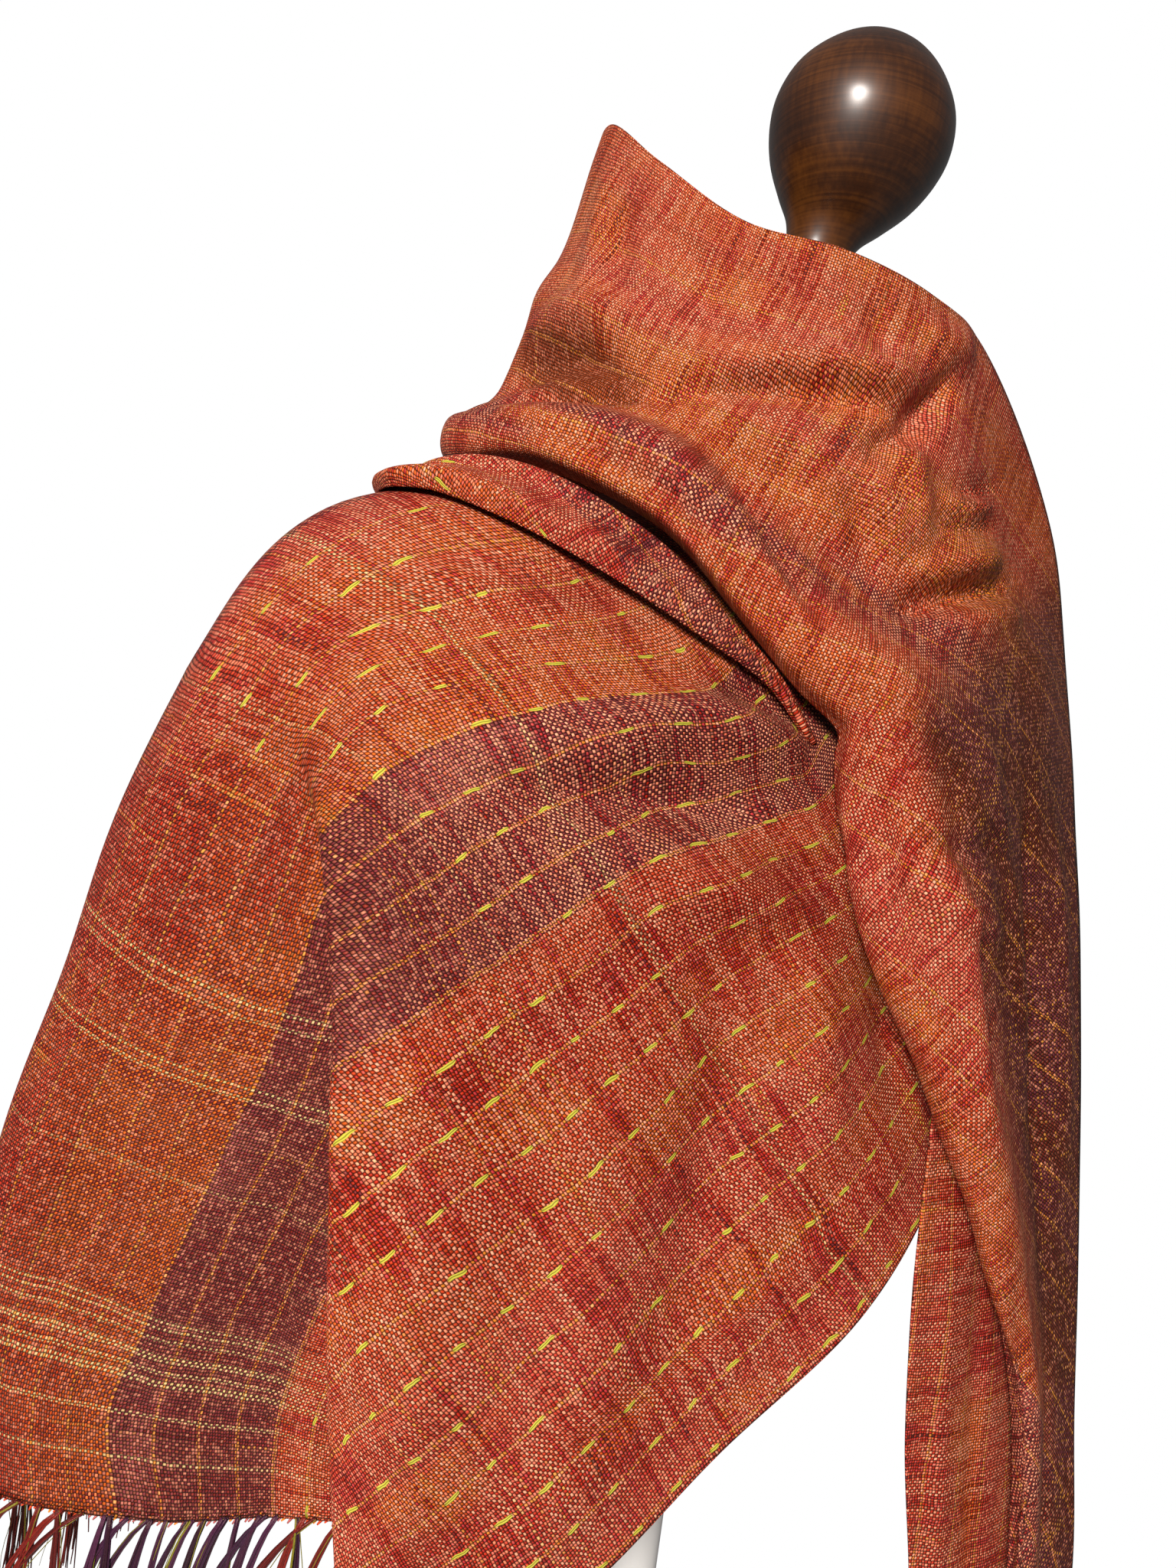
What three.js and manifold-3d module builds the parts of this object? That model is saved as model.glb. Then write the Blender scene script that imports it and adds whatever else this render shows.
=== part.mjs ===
// A handwoven merino silk scarf wound once round a limbless display form on a round stand.
// Millimetres, +Z up, the form faces -Y, the floor is z = 0.
// Every stretch of cloth is a thin closed wall through a short table of sections. Each table cell is
// [angle, radius, height] about the form's upright axis: angle 0 is the front, 90 the form's right.
import * as THREE from "three";
import { mergeVertices } from "three/addons/utils/BufferGeometryUtils.js";
import Module from "manifold-3d";

const wasm = await Module();
wasm.setup();

// ---- driving dimensions -------------------------------------------------------------------------
const CLOTH = 1.5; // wall thickness of the cloth
const SEAM = 0.3; // gap between neighbouring solids
const FRINGE_LENGTH = 92;
const FRINGE_BAND = 5; // height of the knotted band that carries the strands
const FRINGE_DROP = 0.8; // from the hem to the band, enough where the hem slants
const STRAND = 2.8; // thickness of one fringe strand
const BASE_RADIUS = 165;
const BASE_HEIGHT = 22;
const POLE_RADIUS = 11;
const FORM_BOTTOM = 1140;
const NECK_TOP = 1478;
const NECK_LEAN = 13; // degrees, towards LEAN_ANGLE
const NECK_SHIFT = -8.8;
const LEAN_ANGLE = -35; // forward and a little to the form's left
const CAP_HEIGHT = 10;
const FINIAL_RADIUS = 40;

// The form's body: a ring for each level, half as wide and half as deep as it measures there.
const FORM_RINGS = [
  { level: FORM_BOTTOM, halfWidth: 118, halfDepth: 78 },
  { level: 1143, halfWidth: 132, halfDepth: 89 },
  { level: 1152, halfWidth: 143, halfDepth: 97 },
  { level: 1180, halfWidth: 150, halfDepth: 101 },
  { level: 1230, halfWidth: 162, halfDepth: 98 },
  { level: 1280, halfWidth: 180, halfDepth: 83 },
  { level: 1310, halfWidth: 187, halfDepth: 70 },
  { level: 1328, halfWidth: 189, halfDepth: 61 },
  { level: 1342, halfWidth: 181, halfDepth: 54 },
  { level: 1353, halfWidth: 164, halfDepth: 50 },
  { level: 1370.5, halfWidth: 118, halfDepth: 50 },
  { level: 1384.5, halfWidth: 82, halfDepth: 52 },
  { level: 1400, halfWidth: 63, halfDepth: 54, lean: 2, shift: -0.5 },
  { level: 1430, halfWidth: 56, halfDepth: 54, lean: 6, shift: -3 },
  { level: NECK_TOP, halfWidth: 54, halfDepth: 54, lean: NECK_LEAN, shift: NECK_SHIFT },
];

// The turned wood finial on the neck: radius at each height over the neck cap.
const FINIAL_PROFILE = [
  { radius: 22, height: 0 },
  { radius: 21, height: 5 },
  { radius: 15.5, height: 9 },
  { radius: 14.3, height: 18 },
  { radius: 14.3, height: 30 },
  { radius: 17.5, height: 39.5 },
  { radius: 25, height: 49.5 },
  { radius: 33.5, height: 62 },
  { radius: 38.6, height: 75 },
  { radius: FINIAL_RADIUS, height: 86 },
  { radius: 37.2, height: 99 },
  { radius: 29.5, height: 110.5 },
  { radius: 20, height: 118.8 },
  { radius: 9.5, height: 123.4 },
];

// End A and the front panel: one row for each line that the cloth falls along, from the selvedge on
// the back, round the form's right shoulder, through the pleat, across the chest to the left side.
const SHAWL = [
  { crown: [150, 78, 1386], brow: [150, 100, 1358], high: [150, 116, 1290], mid: [148, 136, 1180],
    low: [147, 148, 1090], hem: [146, 156, 1012] },
  { crown: [128, 78, 1388], brow: [124, 140, 1358], high: [125, 170, 1290], mid: [126, 182, 1180],
    low: [127, 192, 1090], hem: [127, 198, 1009] },
  { crown: [108, 84, 1390], brow: [104, 190, 1358], high: [106, 228, 1292], mid: [107, 253, 1180],
    low: [107, 271, 1090], hem: [107, 274, 1002] },
  { crown: [97, 86, 1389], brow: [95, 200, 1356], high: [95, 234, 1302], mid: [97, 257, 1180],
    low: [99, 270, 1090], hem: [99, 262, 1005] },
  { crown: [88, 86, 1388], brow: [88, 195, 1354], high: [91, 226, 1298], mid: [89, 224, 1180],
    low: [91, 226, 1090], hem: [90, 218, 1009] },
  { crown: [83, 86, 1387], brow: [83.5, 187, 1352], high: [88.5, 221, 1297], mid: [80, 203, 1184],
    low: [79, 200, 1090], hem: [77, 198, 1030] },
  { crown: [79.5, 86, 1386], brow: [80.5, 179, 1350], high: [86, 217, 1296], mid: [71, 198, 1187],
    low: [66, 194, 1092], hem: [63, 192, 1044] },
  { crown: [78, 86, 1385], brow: [78, 171, 1348], high: [83.5, 213, 1295], mid: [72.5, 209, 1187],
    low: [67.5, 207, 1094], hem: [64, 206, 1042] },
  { crown: [76.5, 85, 1384], brow: [75.5, 163, 1346], high: [81, 209, 1294], mid: [72.5, 219, 1187],
    low: [68, 220, 1096], hem: [64, 221, 1038] },
  { crown: [74, 88, 1382], brow: [72, 151, 1343], high: [76, 201, 1292], mid: [66, 207, 1185],
    low: [63, 214, 1092], hem: [60, 214, 1026] },
  { crown: [68, 88, 1378], brow: [66, 134, 1337], high: [64, 172, 1288], mid: [56, 172, 1180],
    low: [56, 190, 1086], hem: [56, 206, 1016] },
  { crown: [58, 84, 1371], brow: [57, 114, 1332], high: [48, 131, 1280], mid: [43, 144, 1184],
    low: [46, 168, 1095], hem: [47, 181, 1040] },
  { crown: [45, 75, 1362], brow: [43, 95, 1326], high: [34, 108, 1272], mid: [30, 126, 1190],
    low: [34, 148, 1115], hem: [35, 157, 1074] },
  { crown: [30, 67, 1356], brow: [28, 84, 1318], high: [19, 100, 1264], mid: [16, 116, 1195],
    low: [17, 132, 1140], hem: [17, 141, 1110] },
  { crown: [14, 61, 1352], brow: [12, 79, 1312], high: [5, 97, 1260], mid: [2, 110, 1202],
    low: [2, 120, 1162], hem: [1, 127, 1140] },
  { crown: [-8, 66, 1356], brow: [-11, 82, 1316], high: [-14, 96, 1268], mid: [-15, 107, 1222],
    low: [-16, 114, 1188], hem: [-16, 117, 1172] },
  { crown: [-34, 68, 1362], brow: [-36, 92, 1326], high: [-37, 110, 1286], mid: [-38, 122, 1248],
    low: [-38, 128, 1220], hem: [-38, 131, 1206] },
  { crown: [-64, 84, 1384], brow: [-64, 126, 1352], high: [-64, 143, 1318], mid: [-64, 146, 1286],
    low: [-64, 145, 1260], hem: [-64, 144, 1246] },
];

// The stretch round the back, from the left shoulder to the stand-up collar behind the right one.
const BACK = [
  { top: [-64.9, 84, 1384], shoulder: [-64.9, 128, 1350], upper: [-64.9, 144, 1314],
    lower: [-64.9, 146, 1278], hem: [-64.9, 144, 1246] },
  { top: [-84, 84, 1398], shoulder: [-84, 174, 1359], upper: [-84, 195, 1322],
    lower: [-84, 186, 1268], hem: [-84, 180, 1224] },
  { top: [-108, 80, 1410], shoulder: [-108, 156, 1365], upper: [-108, 190, 1322],
    lower: [-108, 190, 1262], hem: [-108, 188, 1206] },
  { top: [-136, 80, 1436], shoulder: [-136, 98, 1382], upper: [-136, 118, 1330],
    lower: [-136, 134, 1268], hem: [-136, 146, 1204] },
  { top: [-164, 84, 1470], shoulder: [-164, 90, 1408], upper: [-164, 98, 1346],
    lower: [-164, 112, 1282], hem: [-164, 126, 1220] },
  { top: [-190, 92, 1506], shoulder: [-190, 96, 1444], upper: [-190, 102, 1386],
    lower: [-190, 110, 1336], hem: [-190, 124, 1290] },
  { top: [-208.6, 98, 1530], shoulder: [-208.6, 104, 1478], upper: [-208.6, 113, 1432],
    lower: [-208.6, 128, 1402], hem: [-208.6, 130, 1384] },
];

// Collar, cowl, roll and the gathered fall: a row for each section across the stretch, from behind
// the right shoulder, across the front, then down over the left of the chest to end B.
const COWL = [
  { edge: [150.6, 98, 1530], upper: [150.6, 106, 1478], middle: [150.6, 116, 1436],
    crease: [150.6, 122, 1414], crest: [150.6, 137, 1402], under: [150.6, 136, 1390],
    tuck: [150.6, 124, 1387] },
  { edge: [124, 100, 1545], upper: [122, 109, 1500], middle: [119, 121, 1458],
    crease: [117, 132, 1430], crest: [116, 147, 1411], under: [115, 147, 1397],
    tuck: [115, 136, 1393] },
  { edge: [107, 101, 1543], upper: [105, 108, 1494], middle: [103, 118, 1450],
    crease: [101, 128, 1421], crest: [100, 151, 1405], under: [99, 151, 1391],
    tuck: [99, 140, 1388] },
  { edge: [81, 102, 1510], upper: [84, 107, 1468], middle: [84, 115, 1440],
    crease: [82, 122, 1414], crest: [81, 145, 1400], under: [79, 146, 1385],
    tuck: [79, 132, 1380] },
  { edge: [58, 99, 1482], upper: [60, 99, 1454], middle: [62, 103, 1424],
    crease: [63, 109, 1401], crest: [63, 132, 1388], under: [62, 132, 1368],
    tuck: [62, 120, 1363] },
  { edge: [37, 93, 1477], upper: [42, 94, 1448], middle: [45, 97, 1414],
    crease: [47, 99, 1382], crest: [49, 124, 1362], under: [49, 123, 1343],
    tuck: [49, 111, 1339] },
  { edge: [13, 86, 1472], upper: [22, 94, 1432], middle: [25, 98, 1396],
    crease: [28, 96, 1360], crest: [32, 121, 1336], under: [35, 116, 1319],
    tuck: [35, 104, 1315] },
  { edge: [-19, 82, 1466], upper: [-6, 90, 1422], middle: [4, 96, 1388],
    crease: [9, 97, 1352], crest: [20, 125, 1322], under: [26, 117, 1305],
    tuck: [26, 104, 1302] },
  { edge: [-44, 114, 1408], upper: [-30, 102, 1385], middle: [-15, 105, 1360],
    crease: [2, 111, 1335], crest: [18, 130, 1308], under: [26, 116, 1296],
    tuck: [26, 104, 1294] },
  { edge: [-43, 130, 1338], upper: [-26, 121, 1330], middle: [-9, 120, 1316],
    crease: [8, 130, 1302], crest: [19.5, 134, 1290], under: [26, 117, 1276],
    tuck: [25, 107, 1276] },
  { edge: [-35, 144, 1246], upper: [-19, 131, 1246], middle: [-4, 133, 1246],
    crease: [9, 147, 1245], crest: [19, 139, 1243], under: [22, 123, 1239],
    tuck: [20, 116, 1239] },
  { edge: [-33, 152, 1186], upper: [-20, 138, 1189], middle: [-7, 139, 1192],
    crease: [4.5, 150, 1194], crest: [10, 142, 1193], under: [9.5, 131, 1189],
    tuck: [6, 127, 1189] },
  { edge: [-33, 159, 1127], upper: [-23, 148, 1131], middle: [-13, 147, 1136],
    crease: [-5, 152, 1140], crest: [-1, 147, 1139], under: [-2, 141, 1137],
    tuck: [-5, 138, 1137] },
  { edge: [-32, 166, 1060], upper: [-27, 159, 1062], middle: [-21, 157, 1064],
    crease: [-17, 158, 1065], crest: [-14.5, 155, 1065], under: [-15, 151, 1065],
    tuck: [-17, 148, 1065] },
  { edge: [-31, 173, 998], upper: [-28, 167, 998], middle: [-23, 163, 998],
    crease: [-18.5, 163, 998], crest: [-16, 160, 998], under: [-16.5, 156, 998],
    tuck: [-18.5, 153, 998] },
  { edge: [-30, 172, 890], upper: [-28, 167, 890], middle: [-24, 164, 890],
    crease: [-19.5, 163, 890], crest: [-17, 161, 890], under: [-17.5, 157, 890],
    tuck: [-19.5, 154, 890] },
];

// The narrow folds between the roll and the front panel, by their lower line.
const INNER_FOLD = [
  { foot: [116, 148, 1371], rise: 8, depth: 22 },
  { foot: [103, 174, 1369], rise: 12, depth: 26 },
  { foot: [91, 184, 1366], rise: 14, depth: 26 },
  { foot: [84, 178, 1364], rise: 17, depth: 26 },
  { foot: [77, 166, 1357], rise: 21, depth: 24 },
  { foot: [69, 148, 1347], rise: 23, depth: 16 },
  { foot: [61, 131, 1337], rise: 22, depth: 8 },
  { foot: [52, 118, 1327], rise: 13, depth: 4 },
  { foot: [40, 105, 1316], rise: 7, depth: 3 },
  { foot: [30, 100, 1302], rise: 4, depth: 2 },
];

// End B's inner layer, hanging behind the fall.
const END_B = [
  { left: [3, 126.5, 1176], middle: [-8, 130, 1178], right: [-24, 134, 1180] },
  { left: [4, 131, 1110], middle: [-8, 136, 1110], right: [-24, 142, 1110] },
  { left: [0.5, 130, 1060], middle: [-9, 138, 1060], right: [-24, 148, 1060] },
  { left: [-4.5, 133, 1000], middle: [-12, 141, 1000], right: [-24, 152, 1000] },
  { left: [-6, 136, 940], middle: [-13, 143, 940], right: [-24, 154, 940] },
  { left: [-7, 137, 890], middle: [-14, 144, 890], right: [-24, 155, 890] },
];

const CORNER_ROW = 10; // the shawl row at the front corner, where the cut end meets the selvedge
const SHAWL_STEPS = 51;

// ---- small helpers ------------------------------------------------------------------------------
const rad = THREE.MathUtils.degToRad;

/** A point at an angle, radius and height about the form's axis. */
function around([angle, radius, height]) {
  return new THREE.Vector3(-radius * Math.sin(rad(angle)), -radius * Math.cos(rad(angle)), height);
}

/** A smooth curve through points. */
function smooth(points) {
  return new THREE.CatmullRomCurve3(points, false, "centripetal");
}

/** The grid of surface points of a table: `along` steps over its rows, `across` over its columns. */
function surfaceOf(sections, along, across) {
  const rows = sections.map((section) => smooth(Object.values(section).map(around)).getPoints(across));
  const grid = [];
  for (let j = 0; j <= across; j++) grid.push(smooth(rows.map((row) => row[j])).getPoints(along));
  return grid; // grid[j][i]: j across, i along
}

/** Unit normals of a grid of points, from its neighbours. */
function normalsOf(grid) {
  const across = grid.length - 1;
  const along = grid[0].length - 1;
  return grid.map((line, j) => line.map((_, i) => {
    const du = grid[j][Math.min(i + 1, along)].clone().sub(grid[j][Math.max(i - 1, 0)]);
    const dv = grid[Math.min(j + 1, across)][i].clone().sub(grid[Math.max(j - 1, 0)][i]);
    return du.cross(dv).normalize();
  }));
}

/** A closed wall: the grid on one side, the grid moved by `thickness` along its normals on the other. */
function wallOf(grid, thickness) {
  const normals = normalsOf(grid);
  const across = grid.length;
  const along = grid[0].length;
  const positions = [];
  for (const side of [0, thickness]) {
    grid.forEach((line, j) => line.forEach((p, i) => {
      positions.push(...p.clone().addScaledVector(normals[j][i], side).toArray());
    }));
  }
  const face = (side, j, i) => side * across * along + j * along + i;
  const index = [];
  const quad = (a, b, c, d) => index.push(a, b, c, a, c, d);
  for (let j = 0; j < across - 1; j++) {
    for (let i = 0; i < along - 1; i++) {
      quad(face(1, j, i), face(1, j, i + 1), face(1, j + 1, i + 1), face(1, j + 1, i));
      quad(face(0, j, i), face(0, j + 1, i), face(0, j + 1, i + 1), face(0, j, i + 1));
    }
  }
  for (let i = 0; i < along - 1; i++) {
    quad(face(0, 0, i), face(0, 0, i + 1), face(1, 0, i + 1), face(1, 0, i));
    quad(face(0, across - 1, i + 1), face(0, across - 1, i), face(1, across - 1, i), face(1, across - 1, i + 1));
  }
  for (let j = 0; j < across - 1; j++) {
    quad(face(0, j + 1, 0), face(0, j, 0), face(1, j, 0), face(1, j + 1, 0));
    quad(face(0, j, along - 1), face(0, j + 1, along - 1), face(1, j + 1, along - 1), face(1, j, along - 1));
  }
  const geometry = new THREE.BufferGeometry();
  geometry.setAttribute("position", new THREE.Float32BufferAttribute(positions, 3));
  geometry.setIndex(index);
  return geometry;
}

/** A closed solid through rings of points, with a flat fan at each end. */
function loftOf(rings) {
  const sides = rings[0].length;
  const positions = [];
  const index = [];
  rings.forEach((ring) => ring.forEach((p) => positions.push(...p.toArray())));
  const centre = (ring) => ring.reduce((sum, p) => sum.add(p), new THREE.Vector3()).divideScalar(sides);
  const bottom = positions.length / 3;
  positions.push(...centre(rings[0]).toArray(), ...centre(rings.at(-1)).toArray());
  for (let k = 0; k < rings.length - 1; k++) {
    for (let i = 0; i < sides; i++) {
      const next = (i + 1) % sides;
      const [a, b] = [k * sides + i, k * sides + next];
      index.push(a, b, b + sides, a, b + sides, a + sides);
    }
  }
  const last = (rings.length - 1) * sides;
  for (let i = 0; i < sides; i++) {
    const next = (i + 1) % sides;
    index.push(bottom, next, i, bottom + 1, last + i, last + next);
  }
  const geometry = new THREE.BufferGeometry();
  geometry.setAttribute("position", new THREE.Float32BufferAttribute(positions, 3));
  geometry.setIndex(index);
  return geometry;
}

/** A geometry as a manifold solid. */
function solidOf(geometry) {
  const merged = mergeVertices(geometry);
  const mesh = new wasm.Mesh({
    numProp: 3,
    vertProperties: new Float32Array(merged.attributes.position.array),
    triVerts: new Uint32Array(merged.index.array),
  });
  return new wasm.Manifold(mesh);
}

/** A manifold solid as a geometry. */
function geometryOf(solid) {
  const mesh = solid.getMesh();
  const geometry = new THREE.BufferGeometry();
  geometry.setAttribute("position", new THREE.BufferAttribute(new Float32Array(mesh.vertProperties), 3));
  geometry.setIndex(new THREE.BufferAttribute(new Uint32Array(mesh.triVerts), 1));
  return geometry;
}

const group = new THREE.Group();

function addPart(name, geometry, material) {
  geometry.computeVertexNormals();
  const mesh = new THREE.Mesh(geometry, material);
  mesh.name = name;
  group.add(mesh);
  return mesh;
}

const clothMaterial = new THREE.MeshStandardMaterial({ color: 0xb9482f, roughness: 0.8, metalness: 0 });
const fringeMaterial = new THREE.MeshStandardMaterial({ color: 0x8a2f22, roughness: 0.8, metalness: 0 });
const coverMaterial = new THREE.MeshStandardMaterial({ color: 0xe9e4da, roughness: 0.9, metalness: 0 });
const woodMaterial = new THREE.MeshStandardMaterial({ color: 0x3a140b, roughness: 0.25, metalness: 0 });
const metalMaterial = new THREE.MeshStandardMaterial({ color: 0xf2f0ec, roughness: 0.4, metalness: 0 });

// ---- the stand and form -------------------------------------------------------------------------
/** The turn that tips an upright axis by some degrees towards LEAN_ANGLE. */
function leaning(degrees) {
  const hinge = around([LEAN_ANGLE + 90, -1, 0]);
  return new THREE.Quaternion().setFromAxisAngle(hinge, rad(degrees));
}

function formBody() {
  const sides = 48;
  const rings = FORM_RINGS.map(({ level, halfWidth, halfDepth, lean = 0, shift = 0 }) => {
    const centre = around([LEAN_ANGLE, shift, level]);
    const ring = [];
    for (let i = 0; i < sides; i++) {
      const turn = (i / sides) * 2 * Math.PI;
      const flat = new THREE.Vector3(halfWidth * Math.cos(turn), halfDepth * Math.sin(turn), 0);
      ring.push(flat.applyQuaternion(leaning(lean)).add(centre));
    }
    return ring;
  });
  return loftOf(rings);
}

/** A turned solid from radius and height pairs, closed on the axis at both ends. */
function turned(profile, segments) {
  const points = profile.map(({ radius, height }) => new THREE.Vector2(radius, height));
  points.unshift(new THREE.Vector2(0, points[0].y));
  points.push(new THREE.Vector2(0, points.at(-1).y));
  return new THREE.LatheGeometry(points, segments).rotateX(Math.PI / 2);
}

addPart("stand_base", turned([
  { radius: BASE_RADIUS, height: 0 },
  { radius: BASE_RADIUS, height: BASE_HEIGHT - 8 },
  { radius: BASE_RADIUS - 6, height: BASE_HEIGHT - 2 },
  { radius: BASE_RADIUS - 14, height: BASE_HEIGHT },
], 48), metalMaterial);
addPart("stand_pole", turned([
  { radius: POLE_RADIUS, height: BASE_HEIGHT + SEAM },
  { radius: POLE_RADIUS, height: FORM_BOTTOM - SEAM },
], 24), metalMaterial);
addPart("form_body", formBody(), coverMaterial);
const neckCap = addPart("neck_cap", turned([
  { radius: 52, height: SEAM },
  { radius: 54, height: SEAM + 2 },
  { radius: 54, height: CAP_HEIGHT - 3 },
  { radius: 48, height: CAP_HEIGHT },
], 40), woodMaterial);
const finial = addPart("finial", turned(FINIAL_PROFILE.map(({ radius, height }) => (
  { radius, height: CAP_HEIGHT + SEAM + height })), 32), woodMaterial);
for (const piece of [neckCap, finial]) {
  piece.quaternion.copy(leaning(NECK_LEAN));
  piece.position.copy(around([LEAN_ANGLE, NECK_SHIFT, NECK_TOP]));
}

// ---- the scarf ----------------------------------------------------------------------------------
const shawl = surfaceOf(SHAWL, SHAWL_STEPS, 16);
const back = surfaceOf(BACK, 20, 12);
const cowl = surfaceOf(COWL, 48, 14);
const endB = surfaceOf(END_B, 12, 6);

/** The inner fold's section over one point of its lower line: two soft ridges and a tucked top. */
function innerFoldSection({ foot: [angle, radius, height], rise, depth }) {
  return {
    foot: [angle, radius - 1, height],
    ridge: [angle, radius + 1.5, height + 0.35 * rise],
    valley: [angle, radius - 0.45 * depth, height + 0.6 * rise],
    upper: [angle, radius - 0.6 * depth, height + 0.9 * rise],
    tuck: [angle, radius - depth - 2, height + 0.8 * rise],
  };
}

const innerFold = surfaceOf(INNER_FOLD.map(innerFoldSection), 24, 10);

addPart("scarf_end_a_and_front", wallOf(shawl, CLOTH), clothMaterial);
addPart("scarf_back", wallOf(back, CLOTH), clothMaterial);
addPart("scarf_cowl_and_fall", wallOf(cowl, CLOTH), clothMaterial);
addPart("scarf_inner_fold", wallOf(innerFold, CLOTH), clothMaterial);
addPart("scarf_end_b", wallOf(endB, CLOTH), clothMaterial);

/** A knotted band under a hem with strands hanging from it, all one solid. */
function fringe(hem, count, swing) {
  const band = [FRINGE_DROP, FRINGE_DROP + FRINGE_BAND].map((drop) => hem.map((p) => p.clone().setZ(p.z - drop)));
  const faces = normalsOf(band)[0];
  const middle = smooth(hem.map((p, i) => p.clone().addScaledVector(faces[i], CLOTH / 2)));
  const strands = [];
  for (let k = 0; k < count; k++) {
    const root = middle.getPointAt((k + 0.5) / count);
    const away = new THREE.Vector3(root.x, root.y, 0).normalize();
    const lean = swing * Math.sin(2.4 * k);
    const length = FRINGE_LENGTH * (0.92 + 0.08 * Math.sin(5.3 * k));
    const rings = [1, 0.5, 0].map((part) => {
      const centre = root.clone().addScaledVector(away, lean * part * part);
      centre.z = root.z - FRINGE_DROP - FRINGE_BAND / 2 - length * part;
      const half = (STRAND / 2) * (1 - 0.4 * part);
      return [0, 1, 2, 3].map((corner) => {
        const turn = (corner / 4) * 2 * Math.PI;
        return centre.clone().add(new THREE.Vector3(half * Math.cos(turn), half * Math.sin(turn), 0));
      });
    });
    strands.push(solidOf(loftOf(rings)));
  }
  return geometryOf(wasm.Manifold.union([solidOf(wallOf(band, CLOTH)), ...strands]));
}

const fringedSteps = Math.round((CORNER_ROW / (SHAWL.length - 1)) * SHAWL_STEPS);
const lastColumn = (grid) => grid.map((line) => line.at(-1));
addPart("fringe_a", fringe(shawl.at(-1).slice(0, fringedSteps + 1), 66, 4), fringeMaterial);
addPart("fringe_b_outer", fringe(lastColumn(cowl), 13, 2), fringeMaterial);
addPart("fringe_b_inner", fringe(lastColumn(endB), 12, 2), fringeMaterial);

export default group;
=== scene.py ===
"""A handwoven merino silk scarf wound once round a limbless dress form, dressed for its finished look.

Sizes are millimetres in the tables and metres in the meshes. The form faces -Y and +Z is up. Each
stretch of cloth is a thin shell on its solid's form, with its listed creases and its own weave
coordinates, so that threads, stripes and floats run the way the cloth was cut and wound.
"""
import logging
import math
from collections.abc import Sequence
from dataclasses import dataclass, field
from enum import Enum

import bpy
import numpy as np
from mathutils import Matrix, Vector


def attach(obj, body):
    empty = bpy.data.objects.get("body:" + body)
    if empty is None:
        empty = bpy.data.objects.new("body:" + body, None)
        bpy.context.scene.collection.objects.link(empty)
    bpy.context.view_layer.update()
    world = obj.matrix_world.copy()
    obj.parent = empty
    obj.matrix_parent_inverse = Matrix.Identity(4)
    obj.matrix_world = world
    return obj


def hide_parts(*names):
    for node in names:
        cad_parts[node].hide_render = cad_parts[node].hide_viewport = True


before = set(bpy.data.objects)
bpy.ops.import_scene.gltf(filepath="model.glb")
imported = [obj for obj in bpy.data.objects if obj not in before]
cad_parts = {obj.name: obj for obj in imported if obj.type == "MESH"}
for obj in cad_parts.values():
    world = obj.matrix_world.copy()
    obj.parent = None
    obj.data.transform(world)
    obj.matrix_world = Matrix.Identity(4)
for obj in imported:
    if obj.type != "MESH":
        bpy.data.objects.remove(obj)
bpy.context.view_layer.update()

LOG = logging.getLogger("scarf")
MM = 0.001
CLOTH_WIDTH = 520.0
THREAD_PITCH = 1.05

Cell = tuple[float, float, float]
Colour = tuple[float, float, float]
Socket = bpy.types.NodeSocket
UP = np.array([0.0, 0.0, 1.0])


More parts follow.
